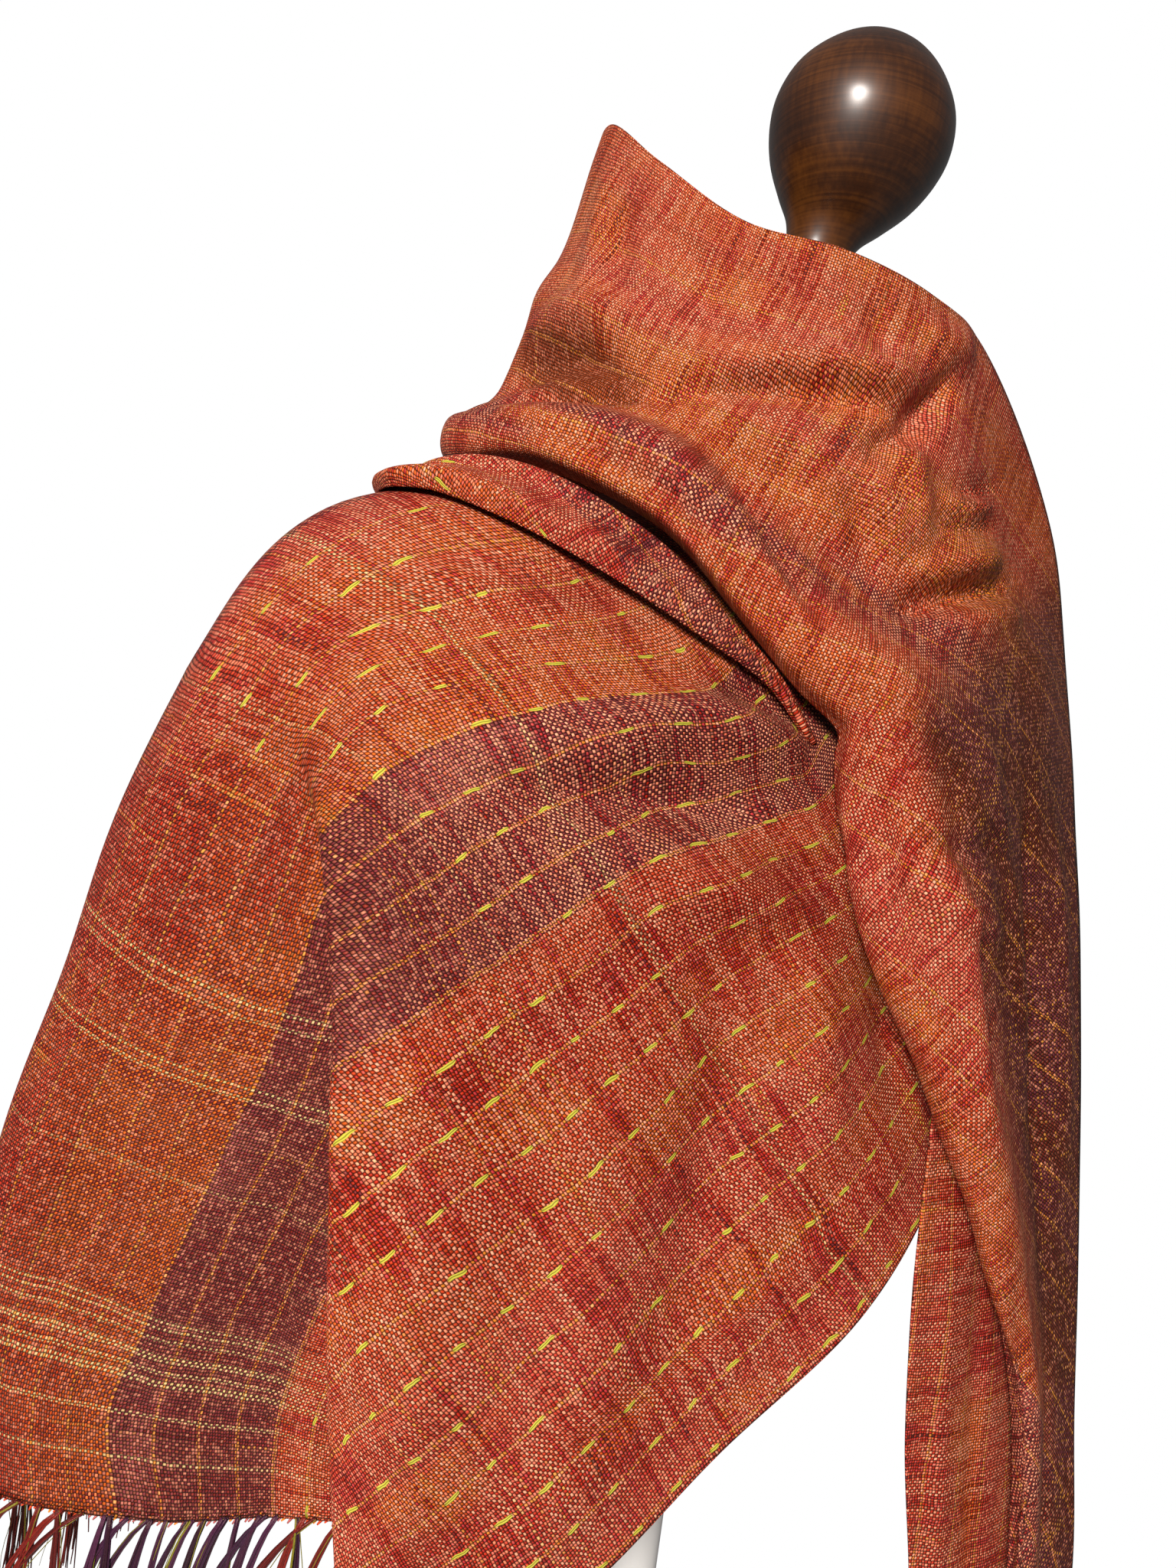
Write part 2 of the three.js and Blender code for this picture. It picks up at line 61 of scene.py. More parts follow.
# ---- the cloth's form: rows of [angle, radius, height] cells ------------------------------------------
# Angle 0 is the form's front, 90 its right side. Each row is one section across the stretch.
# End A and the front panel. Columns: crown, brow, high, mid, low, hem.
SHAWL: tuple[tuple[Cell, ...], ...] = (
    ((150, 78, 1386), (150, 100, 1358), (150, 116, 1290), (148, 136, 1180), (147, 148, 1090), (146, 156, 1012)),
    ((128, 78, 1388), (124, 140, 1358), (125, 170, 1290), (126, 182, 1180), (127, 192, 1090), (127, 198, 1009)),
    ((108, 84, 1390), (104, 190, 1358), (106, 228, 1292), (107, 253, 1180), (107, 271, 1090), (107, 274, 1002)),
    ((97, 86, 1389), (95, 200, 1356), (95, 234, 1302), (97, 257, 1180), (99, 270, 1090), (99, 262, 1005)),
    ((88, 86, 1388), (88, 195, 1354), (91, 226, 1298), (89, 224, 1180), (91, 226, 1090), (90, 218, 1009)),
    ((83, 86, 1387), (83.5, 187, 1352), (88.5, 221, 1297), (80, 203, 1184), (79, 200, 1090), (77, 198, 1030)),
    ((79.5, 86, 1386), (80.5, 179, 1350), (86, 217, 1296), (71, 198, 1187), (66, 194, 1092), (63, 192, 1044)),
    ((78, 86, 1385), (78, 171, 1348), (83.5, 213, 1295), (72.5, 209, 1187), (67.5, 207, 1094), (64, 206, 1042)),
    ((76.5, 85, 1384), (75.5, 163, 1346), (81, 209, 1294), (72.5, 219, 1187), (68, 220, 1096), (64, 221, 1038)),
    ((74, 88, 1382), (72, 151, 1343), (76, 201, 1292), (66, 207, 1185), (63, 214, 1092), (60, 214, 1026)),
    ((68, 88, 1378), (66, 134, 1337), (64, 172, 1288), (56, 172, 1180), (56, 190, 1086), (56, 206, 1016)),
    ((58, 84, 1371), (57, 114, 1332), (48, 131, 1280), (43, 144, 1184), (46, 168, 1095), (47, 181, 1040)),
    ((45, 75, 1362), (43, 95, 1326), (34, 108, 1272), (30, 126, 1190), (34, 148, 1115), (35, 157, 1074)),
    ((30, 67, 1356), (28, 84, 1318), (19, 100, 1264), (16, 116, 1195), (17, 132, 1140), (17, 141, 1110)),
    ((14, 61, 1352), (12, 79, 1312), (5, 97, 1260), (2, 110, 1202), (2, 120, 1162), (1, 127, 1140)),
    ((-8, 66, 1356), (-11, 82, 1316), (-14, 96, 1268), (-15, 107, 1222), (-16, 114, 1188), (-16, 117, 1172)),
    ((-34, 68, 1362), (-36, 92, 1326), (-37, 110, 1286), (-38, 122, 1248), (-38, 128, 1220), (-38, 131, 1206)),
    ((-64, 84, 1384), (-64, 126, 1352), (-64, 143, 1318), (-64, 146, 1286), (-64, 145, 1260), (-64, 144, 1246)),
)

# The stretch round the back. Columns: top, shoulder, upper, lower, hem.
BACK: tuple[tuple[Cell, ...], ...] = (
    ((-64.5, 84, 1384), (-64.5, 128, 1350), (-64.5, 144, 1314), (-64.5, 146, 1278), (-64.5, 144, 1246)),
    ((-84, 84, 1398), (-84, 174, 1359), (-84, 195, 1322), (-84, 186, 1268), (-84, 180, 1224)),
    ((-108, 80, 1410), (-108, 156, 1365), (-108, 190, 1322), (-108, 190, 1262), (-108, 188, 1206)),
    ((-136, 80, 1436), (-136, 98, 1382), (-136, 118, 1330), (-136, 134, 1268), (-136, 146, 1204)),
    ((-164, 84, 1470), (-164, 90, 1408), (-164, 98, 1346), (-164, 112, 1282), (-164, 126, 1220)),
    ((-190, 92, 1506), (-190, 96, 1444), (-190, 102, 1386), (-190, 110, 1336), (-190, 124, 1290)),
    ((-208.6, 98, 1530), (-208.6, 104, 1478), (-208.6, 113, 1432), (-208.6, 128, 1402), (-208.6, 130, 1384)),
)

# Collar, cowl, roll and gathered fall. Columns: edge, upper, middle, crease, crest, under, tuck.
COWL: tuple[tuple[Cell, ...], ...] = (
    ((151.4, 98, 1530), (151.4, 104.2, 1478), (151.4, 113.4, 1434), (151.4, 121, 1414), (151.4, 137, 1402),
     (151.4, 136, 1390), (151.4, 124, 1387)),
    ((124, 100, 1545), (122, 109, 1500), (119, 121, 1458), (117, 132, 1430), (116, 147, 1411),
     (115, 147, 1397), (115, 136, 1393)),
    ((107, 101, 1543), (105, 108, 1494), (103, 118, 1450), (101, 128, 1421), (100, 151, 1405),
     (99, 151, 1391), (99, 140, 1388)),
    ((81, 102, 1510), (84, 107, 1468), (84, 115, 1440), (82, 122, 1414), (81, 145, 1400),
     (79, 146, 1385), (79, 132, 1380)),
    ((58, 99, 1482), (60, 99, 1454), (62, 103, 1424), (63, 109, 1401), (63, 132, 1388),
     (62, 132, 1368), (62, 120, 1363)),
    ((37, 93, 1477), (42, 94, 1448), (45, 97, 1414), (47, 99, 1382), (49, 124, 1362),
     (49, 123, 1343), (49, 111, 1339)),
    ((13, 86, 1472), (22, 94, 1432), (25, 98, 1396), (28, 96, 1360), (32, 121, 1336),
     (35, 116, 1319), (35, 104, 1315)),
    ((-19, 82, 1466), (-6, 90, 1422), (4, 96, 1388), (9, 97, 1352), (20, 125, 1322),
     (26, 117, 1305), (26, 104, 1302)),
    ((-44, 114, 1408), (-30, 102, 1385), (-15, 105, 1360), (2, 111, 1335), (18, 130, 1308),
     (26, 116, 1296), (26, 104, 1294)),
    ((-43, 130, 1338), (-26, 121, 1330), (-9, 120, 1316), (8, 130, 1302), (19.5, 134, 1290),
     (26, 117, 1276), (25, 107, 1276)),
    ((-35, 144, 1246), (-19, 131, 1246), (-4, 133, 1246), (9, 147, 1245), (19, 139, 1243),
     (22, 123, 1239), (20, 116, 1239)),
    ((-33, 152, 1186), (-20, 138, 1189), (-7, 139, 1192), (4.5, 150, 1194), (10, 142, 1193),
     (9.5, 131, 1189), (6, 127, 1189)),
    ((-33, 159, 1127), (-23, 148, 1131), (-13, 147, 1136), (-5, 152, 1140), (-1, 147, 1139),
     (-2, 141, 1137), (-5, 138, 1137)),
    ((-32, 166, 1060), (-27, 159, 1062), (-21, 157, 1064), (-17, 158, 1065), (-14.5, 155, 1065),
     (-15, 151, 1065), (-17, 148, 1065)),
    ((-31, 173, 998), (-28, 167, 998), (-23, 163, 998), (-18.5, 163, 998), (-16, 160, 998),
     (-16.5, 156, 998), (-18.5, 153, 998)),
    ((-30, 172, 890), (-28, 167, 890), (-24, 164, 890), (-19.5, 163, 890), (-17, 161, 890),
     (-17.5, 157, 890), (-19.5, 154, 890)),
)

# The narrow folds under the roll, by their lower line: the line's cell, then the fold's rise and depth.
INNER_FOLD: tuple[tuple[Cell, float, float], ...] = (
    ((116, 148, 1371), 8, 22),
    ((103, 174, 1369), 12, 26),
    ((91, 184, 1366), 14, 26),
    ((84, 178, 1364), 17, 26),
    ((77, 166, 1357), 21, 24),
    ((69, 148, 1347), 23, 16),
    ((61, 131, 1337), 22, 8),
    ((52, 118, 1327), 13, 4),
    ((40, 103, 1315), 7, 3),
    ((29, 95, 1297), 3, 2),
)

# End B's inner layer. Columns: left, middle, right.
END_B: tuple[tuple[Cell, ...], ...] = (
    ((3, 126.5, 1176), (-8, 130, 1178), (-24, 134, 1180)),
    ((4, 131, 1110), (-8, 136, 1110), (-24, 142, 1110)),
    ((0.5, 130, 1060), (-9, 138, 1060), (-24, 148, 1060)),
    ((-4.5, 133, 1000), (-12, 141, 1000), (-24, 152, 1000)),
    ((-6, 136, 940), (-13, 143, 940), (-24, 154, 940)),
    ((-7, 137, 890), (-14, 144, 890), (-24, 155, 890)),
)


# ---- curves, surfaces and the flat cloth --------------------------------------------------------------
def around(cells: np.ndarray) -> np.ndarray:
    """Points in millimetres from cells about the form's upright axis.

    Args:
        cells: Angles in degrees, radii and heights in the last axis.

    Returns:
        The points, in the same shape.
    """
    angle = np.radians(cells[..., 0])
    return np.stack([-cells[..., 1] * np.sin(angle), -cells[..., 1] * np.cos(angle), cells[..., 2]], axis=-1)


def smooth(points: np.ndarray, steps: int) -> np.ndarray:
    """A soft curve through points, the way a thin batten bends through pins.

    Args:
        points: The points along the first axis; any further axes are curves side by side.
        steps: How many equal steps the curve is cut into.

    Returns:
        The curve's points along the first axis.
    """
    pinned = np.concatenate([(2 * points[0] - points[1])[None], points, (2 * points[-1] - points[-2])[None]])
    place = np.linspace(0, len(points) - 1, steps + 1)
    low = np.minimum(place.astype(int), len(points) - 2)
    part = (place - low).reshape(-1, *[1] * (points.ndim - 1))
    a, b, c, d = (pinned[low + k] for k in range(4))
    first, middle, last = (np.sum((q - p) ** 2, axis=-1, keepdims=True) ** 0.25
                           for p, q in ((a, b), (b, c), (c, d)))
    middle = np.where(middle < 1e-4, 1.0, middle)
    first = np.where(first < 1e-4, middle, first)
    last = np.where(last < 1e-4, middle, last)
    leave = ((b - a) / first - (c - a) / (first + middle) + (c - b) / middle) * middle
    reach = ((c - b) / middle - (d - b) / (middle + last) + (d - c) / last) * middle
    cube = 2 * b - 2 * c + leave + reach
    square = 3 * (c - b) - 2 * leave - reach
    return b + part * (leave + part * (square + part * cube))


def surface(sections: np.ndarray, along: int, across: int) -> np.ndarray:
    """The points of a stretch of cloth.

    Args:
        sections: Points of each row's cells, rows first.
        along: Steps over the rows.
        across: Steps over the columns.

    Returns:
        Points with the first axis along the rows and the second across.
    """
    lines = smooth(sections.transpose(1, 0, 2), across)
    return smooth(lines.transpose(1, 0, 2), along)


def normals(grid: np.ndarray) -> np.ndarray:
    """Unit normals of a grid of points, on the side that faces the form.

    Args:
        grid: The points, along first.

    Returns:
        The normals, in the same shape.
    """
    run = np.gradient(grid, axis=0)
    fall = np.gradient(grid, axis=1)
    across = np.cross(run, fall)
    return across / np.maximum(np.linalg.norm(across, axis=-1, keepdims=True), 1e-9)


class Axis(Enum):
    """A direction on the flat cloth."""

    WEFT = 0
    WARP = 1


class Side(Enum):
    """One edge of a stretch's grid."""

    FIRST_COLUMN = "first column"
    LAST_COLUMN = "last column"
    FIRST_ROW = "first row"
    LAST_ROW = "last row"


@dataclass(frozen=True)
class Guide:
    """An edge of a stretch that lies along a straight line of the flat cloth, as a selvedge or a cut end.

    start and end are the shares of the edge that lie on the line, and hold is how firmly they do.
    """

    side: Side
    axis: Axis
    value: float
    start: float = 0.0
    end: float = 1.0
    hold: float = 1.0


@dataclass(frozen=True)
class ThreadLine:
    """A thread's run over a stretch, by (row, column) places that share one flat place along an axis."""

    axis: Axis
    value: float
    places: tuple[tuple[float, float], ...]
    hold: float = 12.0


@dataclass(frozen=True)
class Layout:
    """How a stretch lies on the flat cloth, roughly, before its threads are evened out.

    first and last are the flat places (weft, warp) that the first and last columns run through.
    """

    first: tuple[tuple[float, float], ...]
    last: tuple[tuple[float, float], ...]
    guides: tuple[Guide, ...] = ()
    threads: tuple[ThreadLine, ...] = ()
    row_spans: int = 1
    column_spans: int = 1
    rounds: int = 160


def along_path(path: Sequence[tuple[float, float]], count: int, shares: np.ndarray) -> np.ndarray:
    """Places on a bent path, at shares of its length.

    Args:
        path: The path's corners.
        count: How many places.
        shares: The share of the whole length at each place, from 0 to 1.

    Returns:
        The places, one row each.
    """
    corners = np.array(path, float)
    lengths = np.concatenate([[0], np.cumsum(np.linalg.norm(np.diff(corners, axis=0), axis=1))])
    wanted = shares[:count] * lengths[-1]
    return np.stack([np.interp(wanted, lengths, corners[:, k]) for k in range(2)], axis=1)


def shares_of(line: np.ndarray) -> np.ndarray:
    """The share of a line's length at each of its points, from 0 to 1."""
    steps = np.concatenate([[0], np.cumsum(np.linalg.norm(np.diff(line, axis=0), axis=1))])
    return steps / steps[-1]


class Flattening:
    """Lays a worn grid of cloth flat with as little stretch as it allows, so threads keep their spacing."""

    EDGES = ((0, 1, 2), (1, 2, 0), (2, 0, 1))

    def __init__(self, grid: np.ndarray, layout: Layout) -> None:
        """Sets the grid and its rough layout.

        Args:
            grid: The worn points, along first.
            layout: The rough flat places and the edges that lie straight.
        """
        self.rows, self.columns = grid.shape[:2]
        self.points = grid.reshape(-1, 3)
        self.layout = layout
        first = along_path(layout.first, self.rows, shares_of(grid[:, 0]))
        last = along_path(layout.last, self.rows, shares_of(grid[:, -1]))
        steps = np.linalg.norm(np.diff(grid, axis=1), axis=2)
        widths = np.concatenate([np.zeros((self.rows, 1)), np.cumsum(steps, axis=1)], axis=1)
        part = (widths / widths[:, -1:])[..., None]
        self.flat = (first[:, None] * (1 - part) + last[:, None] * part).reshape(-1, 2)
        self.triangles = self._triangles()

    def _triangles(self) -> np.ndarray:
        """Four triangles for each cell of the grid, two for each way of cutting it.

        Returns:
            Point numbers, one row for each triangle.
        """
        index = np.arange(self.rows * self.columns).reshape(self.rows, self.columns)
        a, b, c, d = index[:-1, :-1], index[1:, :-1], index[1:, 1:], index[:-1, 1:]
        slants = [(a, b, c), (a, c, d), (a, b, d), (b, c, d)]
        return np.concatenate([np.stack(t, axis=-1).reshape(-1, 3) for t in slants])

    def _pins(self) -> dict[Axis, tuple[np.ndarray, np.ndarray]]:
        """How firmly the points are held along each axis.

        Returns:
            For each axis, a matrix for the hold and its load.
        """
        count = len(self.points)
        index = np.arange(count).reshape(self.rows, self.columns)
        lines = {Side.FIRST_COLUMN: index[:, 0], Side.LAST_COLUMN: index[:, -1],
                 Side.FIRST_ROW: index[0], Side.LAST_ROW: index[-1]}
        pins = {axis: (np.zeros((count, count)), np.zeros(count)) for axis in Axis}
        for guide in self.layout.guides:
            line = lines[guide.side]
            low, high = round(guide.start * (len(line) - 1)), round(guide.end * (len(line) - 1))
            held = line[low:high + 1]
            pins[guide.axis][0][held, held] += guide.hold
            pins[guide.axis][1][held] += guide.hold * guide.value
        for thread in self.layout.threads:
            hold, load = pins[thread.axis]
            for row, column in self._spread(thread.places):
                i, j = min(int(row), self.rows - 2), min(int(column), self.columns - 2)
                u, v = row - i, column - j
                corners = index[[i, i + 1, i, i + 1], [j, j, j + 1, j + 1]]
                share = np.array([(1 - u) * (1 - v), u * (1 - v), (1 - u) * v, u * v])
                hold[np.ix_(corners, corners)] += thread.hold * np.outer(share, share)
                load[corners] += thread.hold * thread.value * share
        for axis, (hold, load) in pins.items():
            if not hold.any():
                hold[0, 0] = 1e-3
                load[0] = 1e-3 * self.flat[0, axis.value]
        return pins

    def _spread(self, places: tuple[tuple[float, float], ...]) -> np.ndarray:
        """A thread line's places in steps of this grid, with one more between each two.

        Args:
            places: The (row, column) places in the table's own rows and columns.

        Returns:
            The places, one row each.
        """
        table = np.array(places, float) * ((self.rows - 1) / self.layout.row_spans,
                                           (self.columns - 1) / self.layout.column_spans)
        if len(table) < 2:
            return table
        return np.stack([np.interp(np.arange(0, len(table) - 0.5, 0.5), np.arange(len(table)), table[:, k])
                         for k in range(2)], axis=1)

    def _shapes(self) -> np.ndarray:
        """Each worn triangle by itself, laid flat with its first corner at 0, 0.

        Returns:
            Three corners for each triangle.
        """
        worn = self.points[self.triangles]
        side, other = worn[:, 1] - worn[:, 0], worn[:, 2] - worn[:, 0]
        length = np.linalg.norm(side, axis=1)
        reach = np.einsum("ij,ij->i", side, other) / length
        rise = np.linalg.norm(np.cross(side, other), axis=1) / length
        zero = np.zeros(len(worn))
        shapes = np.stack([np.stack(corner, 1) for corner in ((zero, zero), (length, zero), (reach, rise))], 1)
        return shapes * np.array([1.0, self._handed()])

    def _handed(self) -> float:
        """Which way round the rough layout shows the worn triangles.

        Returns:
            1 for the same way round, otherwise -1.
        """
        laid = self.flat[self.triangles]
        a, b = laid[:, 1] - laid[:, 0], laid[:, 2] - laid[:, 0]
        return 1.0 if (a[:, 0] * b[:, 1] - a[:, 1] * b[:, 0]).sum() >= 0 else -1.0

    def _stiffness(self, shapes: np.ndarray) -> tuple[np.ndarray, list[np.ndarray]]:
        """The cloth's pull between each two points, from the angles that face each edge.

        Args:
            shapes: The triangles, each laid flat by itself.

        Returns:
            The pull as a matrix, and the weight of each triangle's three edges.
        """
        t = self.triangles
        pull = np.zeros((len(self.points), len(self.points)))
        weights = []
        for p, q, r in self.EDGES:
            u, v = shapes[:, p] - shapes[:, r], shapes[:, q] - shapes[:, r]
            area = np.abs(u[:, 0] * v[:, 1] - u[:, 1] * v[:, 0])
            weight = np.clip(np.einsum("ij,ij->i", u, v) / np.maximum(area, 1e-9), 0.05, 8)
            weights.append(weight)
            for m, n, sign in ((p, p, 1), (q, q, 1), (p, q, -1), (q, p, -1)):
                np.add.at(pull, (t[:, m], t[:, n]), sign * weight)
        return pull, weights

    def _turned_load(self, shapes: np.ndarray, weights: list[np.ndarray]) -> np.ndarray:
        """The load of every triangle when it is turned to lie best on this round's flat places.

        Args:
            shapes: The triangles, each laid flat by itself.
            weights: The weight of each triangle's three edges.

        Returns:
            The load on each point.
        """
        t = self.triangles
        laid = self.flat[t]
        cosine, sine = np.zeros(len(t)), np.zeros(len(t))
        for (p, q, _), weight in zip(self.EDGES, weights):
            s, d = shapes[:, p] - shapes[:, q], laid[:, p] - laid[:, q]
            cosine += weight * np.einsum("ij,ij->i", s, d)
            sine += weight * (s[:, 0] * d[:, 1] - s[:, 1] * d[:, 0])
        size = np.maximum(np.hypot(cosine, sine), 1e-9)
        cosine, sine = cosine / size, sine / size
        load = np.zeros((len(self.points), 2))
        for (p, q, _), weight in zip(self.EDGES, weights):
            s = shapes[:, p] - shapes[:, q]
            turned = np.stack([cosine * s[:, 0] - sine * s[:, 1], sine * s[:, 0] + cosine * s[:, 1]], axis=1)
            turned = turned * weight[:, None]
            np.add.at(load, t[:, p], turned)
            np.add.at(load, t[:, q], -turned)
        return load

    def lay(self) -> np.ndarray:
        """Lays the grid flat.

        Returns:
            The flat places (weft, warp) in millimetres, along first.
        """
        shapes = self._shapes()
        pull, weights = self._stiffness(shapes)
        pins = self._pins()
        solved = {axis: np.linalg.inv(pull + hold) for axis, (hold, _) in pins.items()}
        for _ in range(self.layout.rounds):
            load = self._turned_load(shapes, weights)
            for axis, (_, held) in pins.items():
                self.flat[:, axis.value] = solved[axis] @ (load[:, axis.value] + held)
        return self.flat.reshape(self.rows, self.columns, 2)


@dataclass(frozen=True)
class Crease:
    """A soft ridge (positive height) or trough along a line of (angle, height) places."""

    line: tuple[tuple[float, float], ...]
    height: float
    width: float

    def lift(self, cells: np.ndarray) -> np.ndarray:
        """How far the crease lifts each place outwards.

        Args:
            cells: Angle, radius and height of each place.

        Returns:
            Millimetres outwards.
        """
        scale = np.radians(cells[..., 1])
        x, z = cells[..., 0] * scale, cells[..., 2]
        best = np.full(x.shape, 1e9)
        share = np.zeros(x.shape)
        spans = len(self.line) - 1
        for k, ((a0, z0), (a1, z1)) in enumerate(zip(self.line, self.line[1:])):
            x0, x1 = a0 * scale, a1 * scale
            dx, dz = x1 - x0, z1 - z0
            t = np.clip(((x - x0) * dx + (z - z0) * dz) / np.maximum(dx * dx + dz * dz, 1e-9), 0, 1)
            far = np.hypot(x - x0 - t * dx, z - z0 - t * dz)
            share = np.where(far < best, (k + t) / spans, share)
            best = np.minimum(best, far)
        taper = np.sin(np.pi * np.clip(share, 0.02, 0.98)) ** 0.7
        return self.height * np.exp(-(best / self.width) ** 2) * taper


@dataclass
class Stretch:
    """One stretch of the scarf: its form, where it lies on the flat cloth, and its creases."""

    name: str
    cells: np.ndarray
    along: int
    across: int
    layout: Layout
    creases: tuple[Crease, ...] = ()
    ripple: float = 0.35
    thickness: float = 0.8
    rests_on: tuple[str, ...] = ("form_body",)
    outer: np.ndarray = field(default=None, repr=False)
    flat: np.ndarray = field(default=None, repr=False)

    def shape(self) -> None:
        """Works out the worn points and the flat places of a fine grid."""
        base = around(self.cells)
        rough = surface(base, 3 * (len(base) - 1), 12)
        laid = Flattening(rough, self.layout).lay()
        columns = smooth(laid.transpose(1, 0, 2), self.across).transpose(1, 0, 2)
        self.flat = smooth(columns, self.along)
        grid = surface(base, self.along, self.across)
        angle = np.degrees(np.arctan2(-grid[..., 0], -grid[..., 1]))
        middle = np.mean(self.cells[..., 0])
        angle = np.where(angle < middle - 180, angle + 360, angle)
        angle = np.where(angle > middle + 180, angle - 360, angle)
        places = np.stack([angle, np.hypot(grid[..., 0], grid[..., 1]), grid[..., 2]], axis=-1)
        lift = self.ripple * self._ripples()
        for crease in self.creases:
            lift = lift + crease.lift(places)
        self.outer = grid - normals(grid) * (lift * self._edge_fade())[..., None]

    def _ripples(self) -> np.ndarray:
        """A faint uneven waviness of the hand-woven cloth, from its flat places.

        Returns:
            The lift, from about -2 to 2.
        """
        x, y = self.flat[..., 0], self.flat[..., 1]
        return (np.sin(x / 9.1 + 1.3 * np.sin(y / 31)) * np.sin(y / 23 + 0.8)
                + 0.6 * np.sin(y / 11.3 + 1.7 * np.sin(x / 27)) + 0.5 * np.sin((x + y) / 17.7))

    def _edge_fade(self) -> np.ndarray:
        """Keeps the outermost points on the form's line, so neighbours still meet.

        Returns:
            How much of the lift each point takes, from 0 to 1.
        """
        i = np.linspace(0, 1, self.along + 1)
        j = np.linspace(0, 1, self.across + 1)
        ends = np.minimum(np.minimum(i, 1 - i) / 0.02, 1)[:, None]
        edges = np.minimum(np.minimum(j, 1 - j) / 0.05, 1)[None]
        return ends * (0.35 + 0.65 * edges)


def fold_cells(rows: Sequence[tuple[Cell, float, float]]) -> np.ndarray:
    """The inner fold's sections over its lower line: two soft ridges and a tucked top.

    Args:
        rows: The lower line's cell, the fold's rise and its depth at each row.

    Returns:
        The cells of each section.
    """
    made = []
    for (angle, radius, height), rise, depth in rows:
        made.append(((angle, radius - 1, height), (angle, radius + 1.5, height + 0.35 * rise),
                     (angle, radius - 0.45 * depth, height + 0.6 * rise),
                     (angle, radius - 0.6 * depth, height + 0.9 * rise),
                     (angle, radius - depth - 2, height + 0.8 * rise)))
    return np.array(made, float)


# Threads of End A and the front panel, by the (row, column) places that they run through.
WEFT_PLACE, WARP_PLACE = Axis.WEFT, Axis.WARP
SHAWL_THREADS: tuple[ThreadLine, ...] = (
    ThreadLine(WEFT_PLACE, 250, ((7.5, 1.65), (8.5, 1.5), (9.05, 1.35), (9.4, 1.1))),
    ThreadLine(WEFT_PLACE, 221, ((8.45, 2.15), (8.9, 2.05), (9.25, 1.9), (9.5, 1.8))),
    ThreadLine(WEFT_PLACE, 206.5, ((8.55, 2.35), (9.15, 2.2), (9.7, 2.0), (10.1, 1.8), (10.8, 1.6),
                                   (11.2, 1.5))),
    ThreadLine(WEFT_PLACE, 177.5, ((8.35, 2.7), (9.15, 2.55), (10.05, 2.25), (10.9, 1.95), (12.3, 1.6))),
    ThreadLine(WEFT_PLACE, 148, ((8.25, 3.05), (9.15, 2.85), (9.95, 2.55), (10.7, 2.3), (10.85, 2.25))),
    ThreadLine(WEFT_PLACE, 119, ((8.3, 3.5), (9.05, 3.25), (9.95, 2.9), (10.9, 2.6), (11.75, 2.35))),
    ThreadLine(WEFT_PLACE, 90, ((9.1, 3.65), (9.65, 3.5), (10.35, 3.2))),
    ThreadLine(WEFT_PLACE, 60, ((9.5, 4.1), (9.95, 3.9), (10.35, 3.7))),
    ThreadLine(WARP_PLACE, 270, ((8.25, 1.45), (9.15, 1.65), (9.75, 1.95), (10.15, 2.35), (10.5, 2.55),
                                 (10.9, 2.85), (11.25, 2.95), (12.45, 3.65), (13.05, 4.8))),
    ThreadLine(WARP_PLACE, 201, ((8.65, 2.55), (8.85, 2.6), (8.95, 2.7))),
    ThreadLine(WARP_PLACE, 131, ((8.75, 3.9), (9.3, 4.1))),
    ThreadLine(WEFT_PLACE, 206.5, ((4.75, 2.95), (4.45, 3.25), (4.3, 3.5), (4.1, 3.95), (3.9, 4.25),
                                   (3.65, 4.6))),
    ThreadLine(WEFT_PLACE, 221, ((5.1, 2.55), (4.5, 2.8), (4.3, 2.95))),
    ThreadLine(WEFT_PLACE, 236, ((4.45, 2.6), (4.1, 2.7), (3.9, 2.9), (3.75, 3.1), (3.65, 3.5))),
    ThreadLine(WEFT_PLACE, 250, ((3.85, 2.55), (3.65, 2.7), (3.5, 2.9), (3.35, 3.25))),
    ThreadLine(WEFT_PLACE, 265, ((3.3, 2.6), (3.25, 2.8), (3.1, 3.05))),
    ThreadLine(WEFT_PLACE, 177.5, ((5.15, 3.35),)),
    ThreadLine(WARP_PLACE, 160, ((2.85, 2.85), (3.5, 2.9), (4.25, 3.0), (5.1, 3.05))),
    ThreadLine(WARP_PLACE, 135, ((2.9, 3.05), (3.45, 3.2), (4.05, 3.25), (5.1, 3.3))),
    ThreadLine(WARP_PLACE, 50, ((3.1, 4.15), (3.6, 4.25), (4.15, 4.3), (4.7, 4.25))),
)


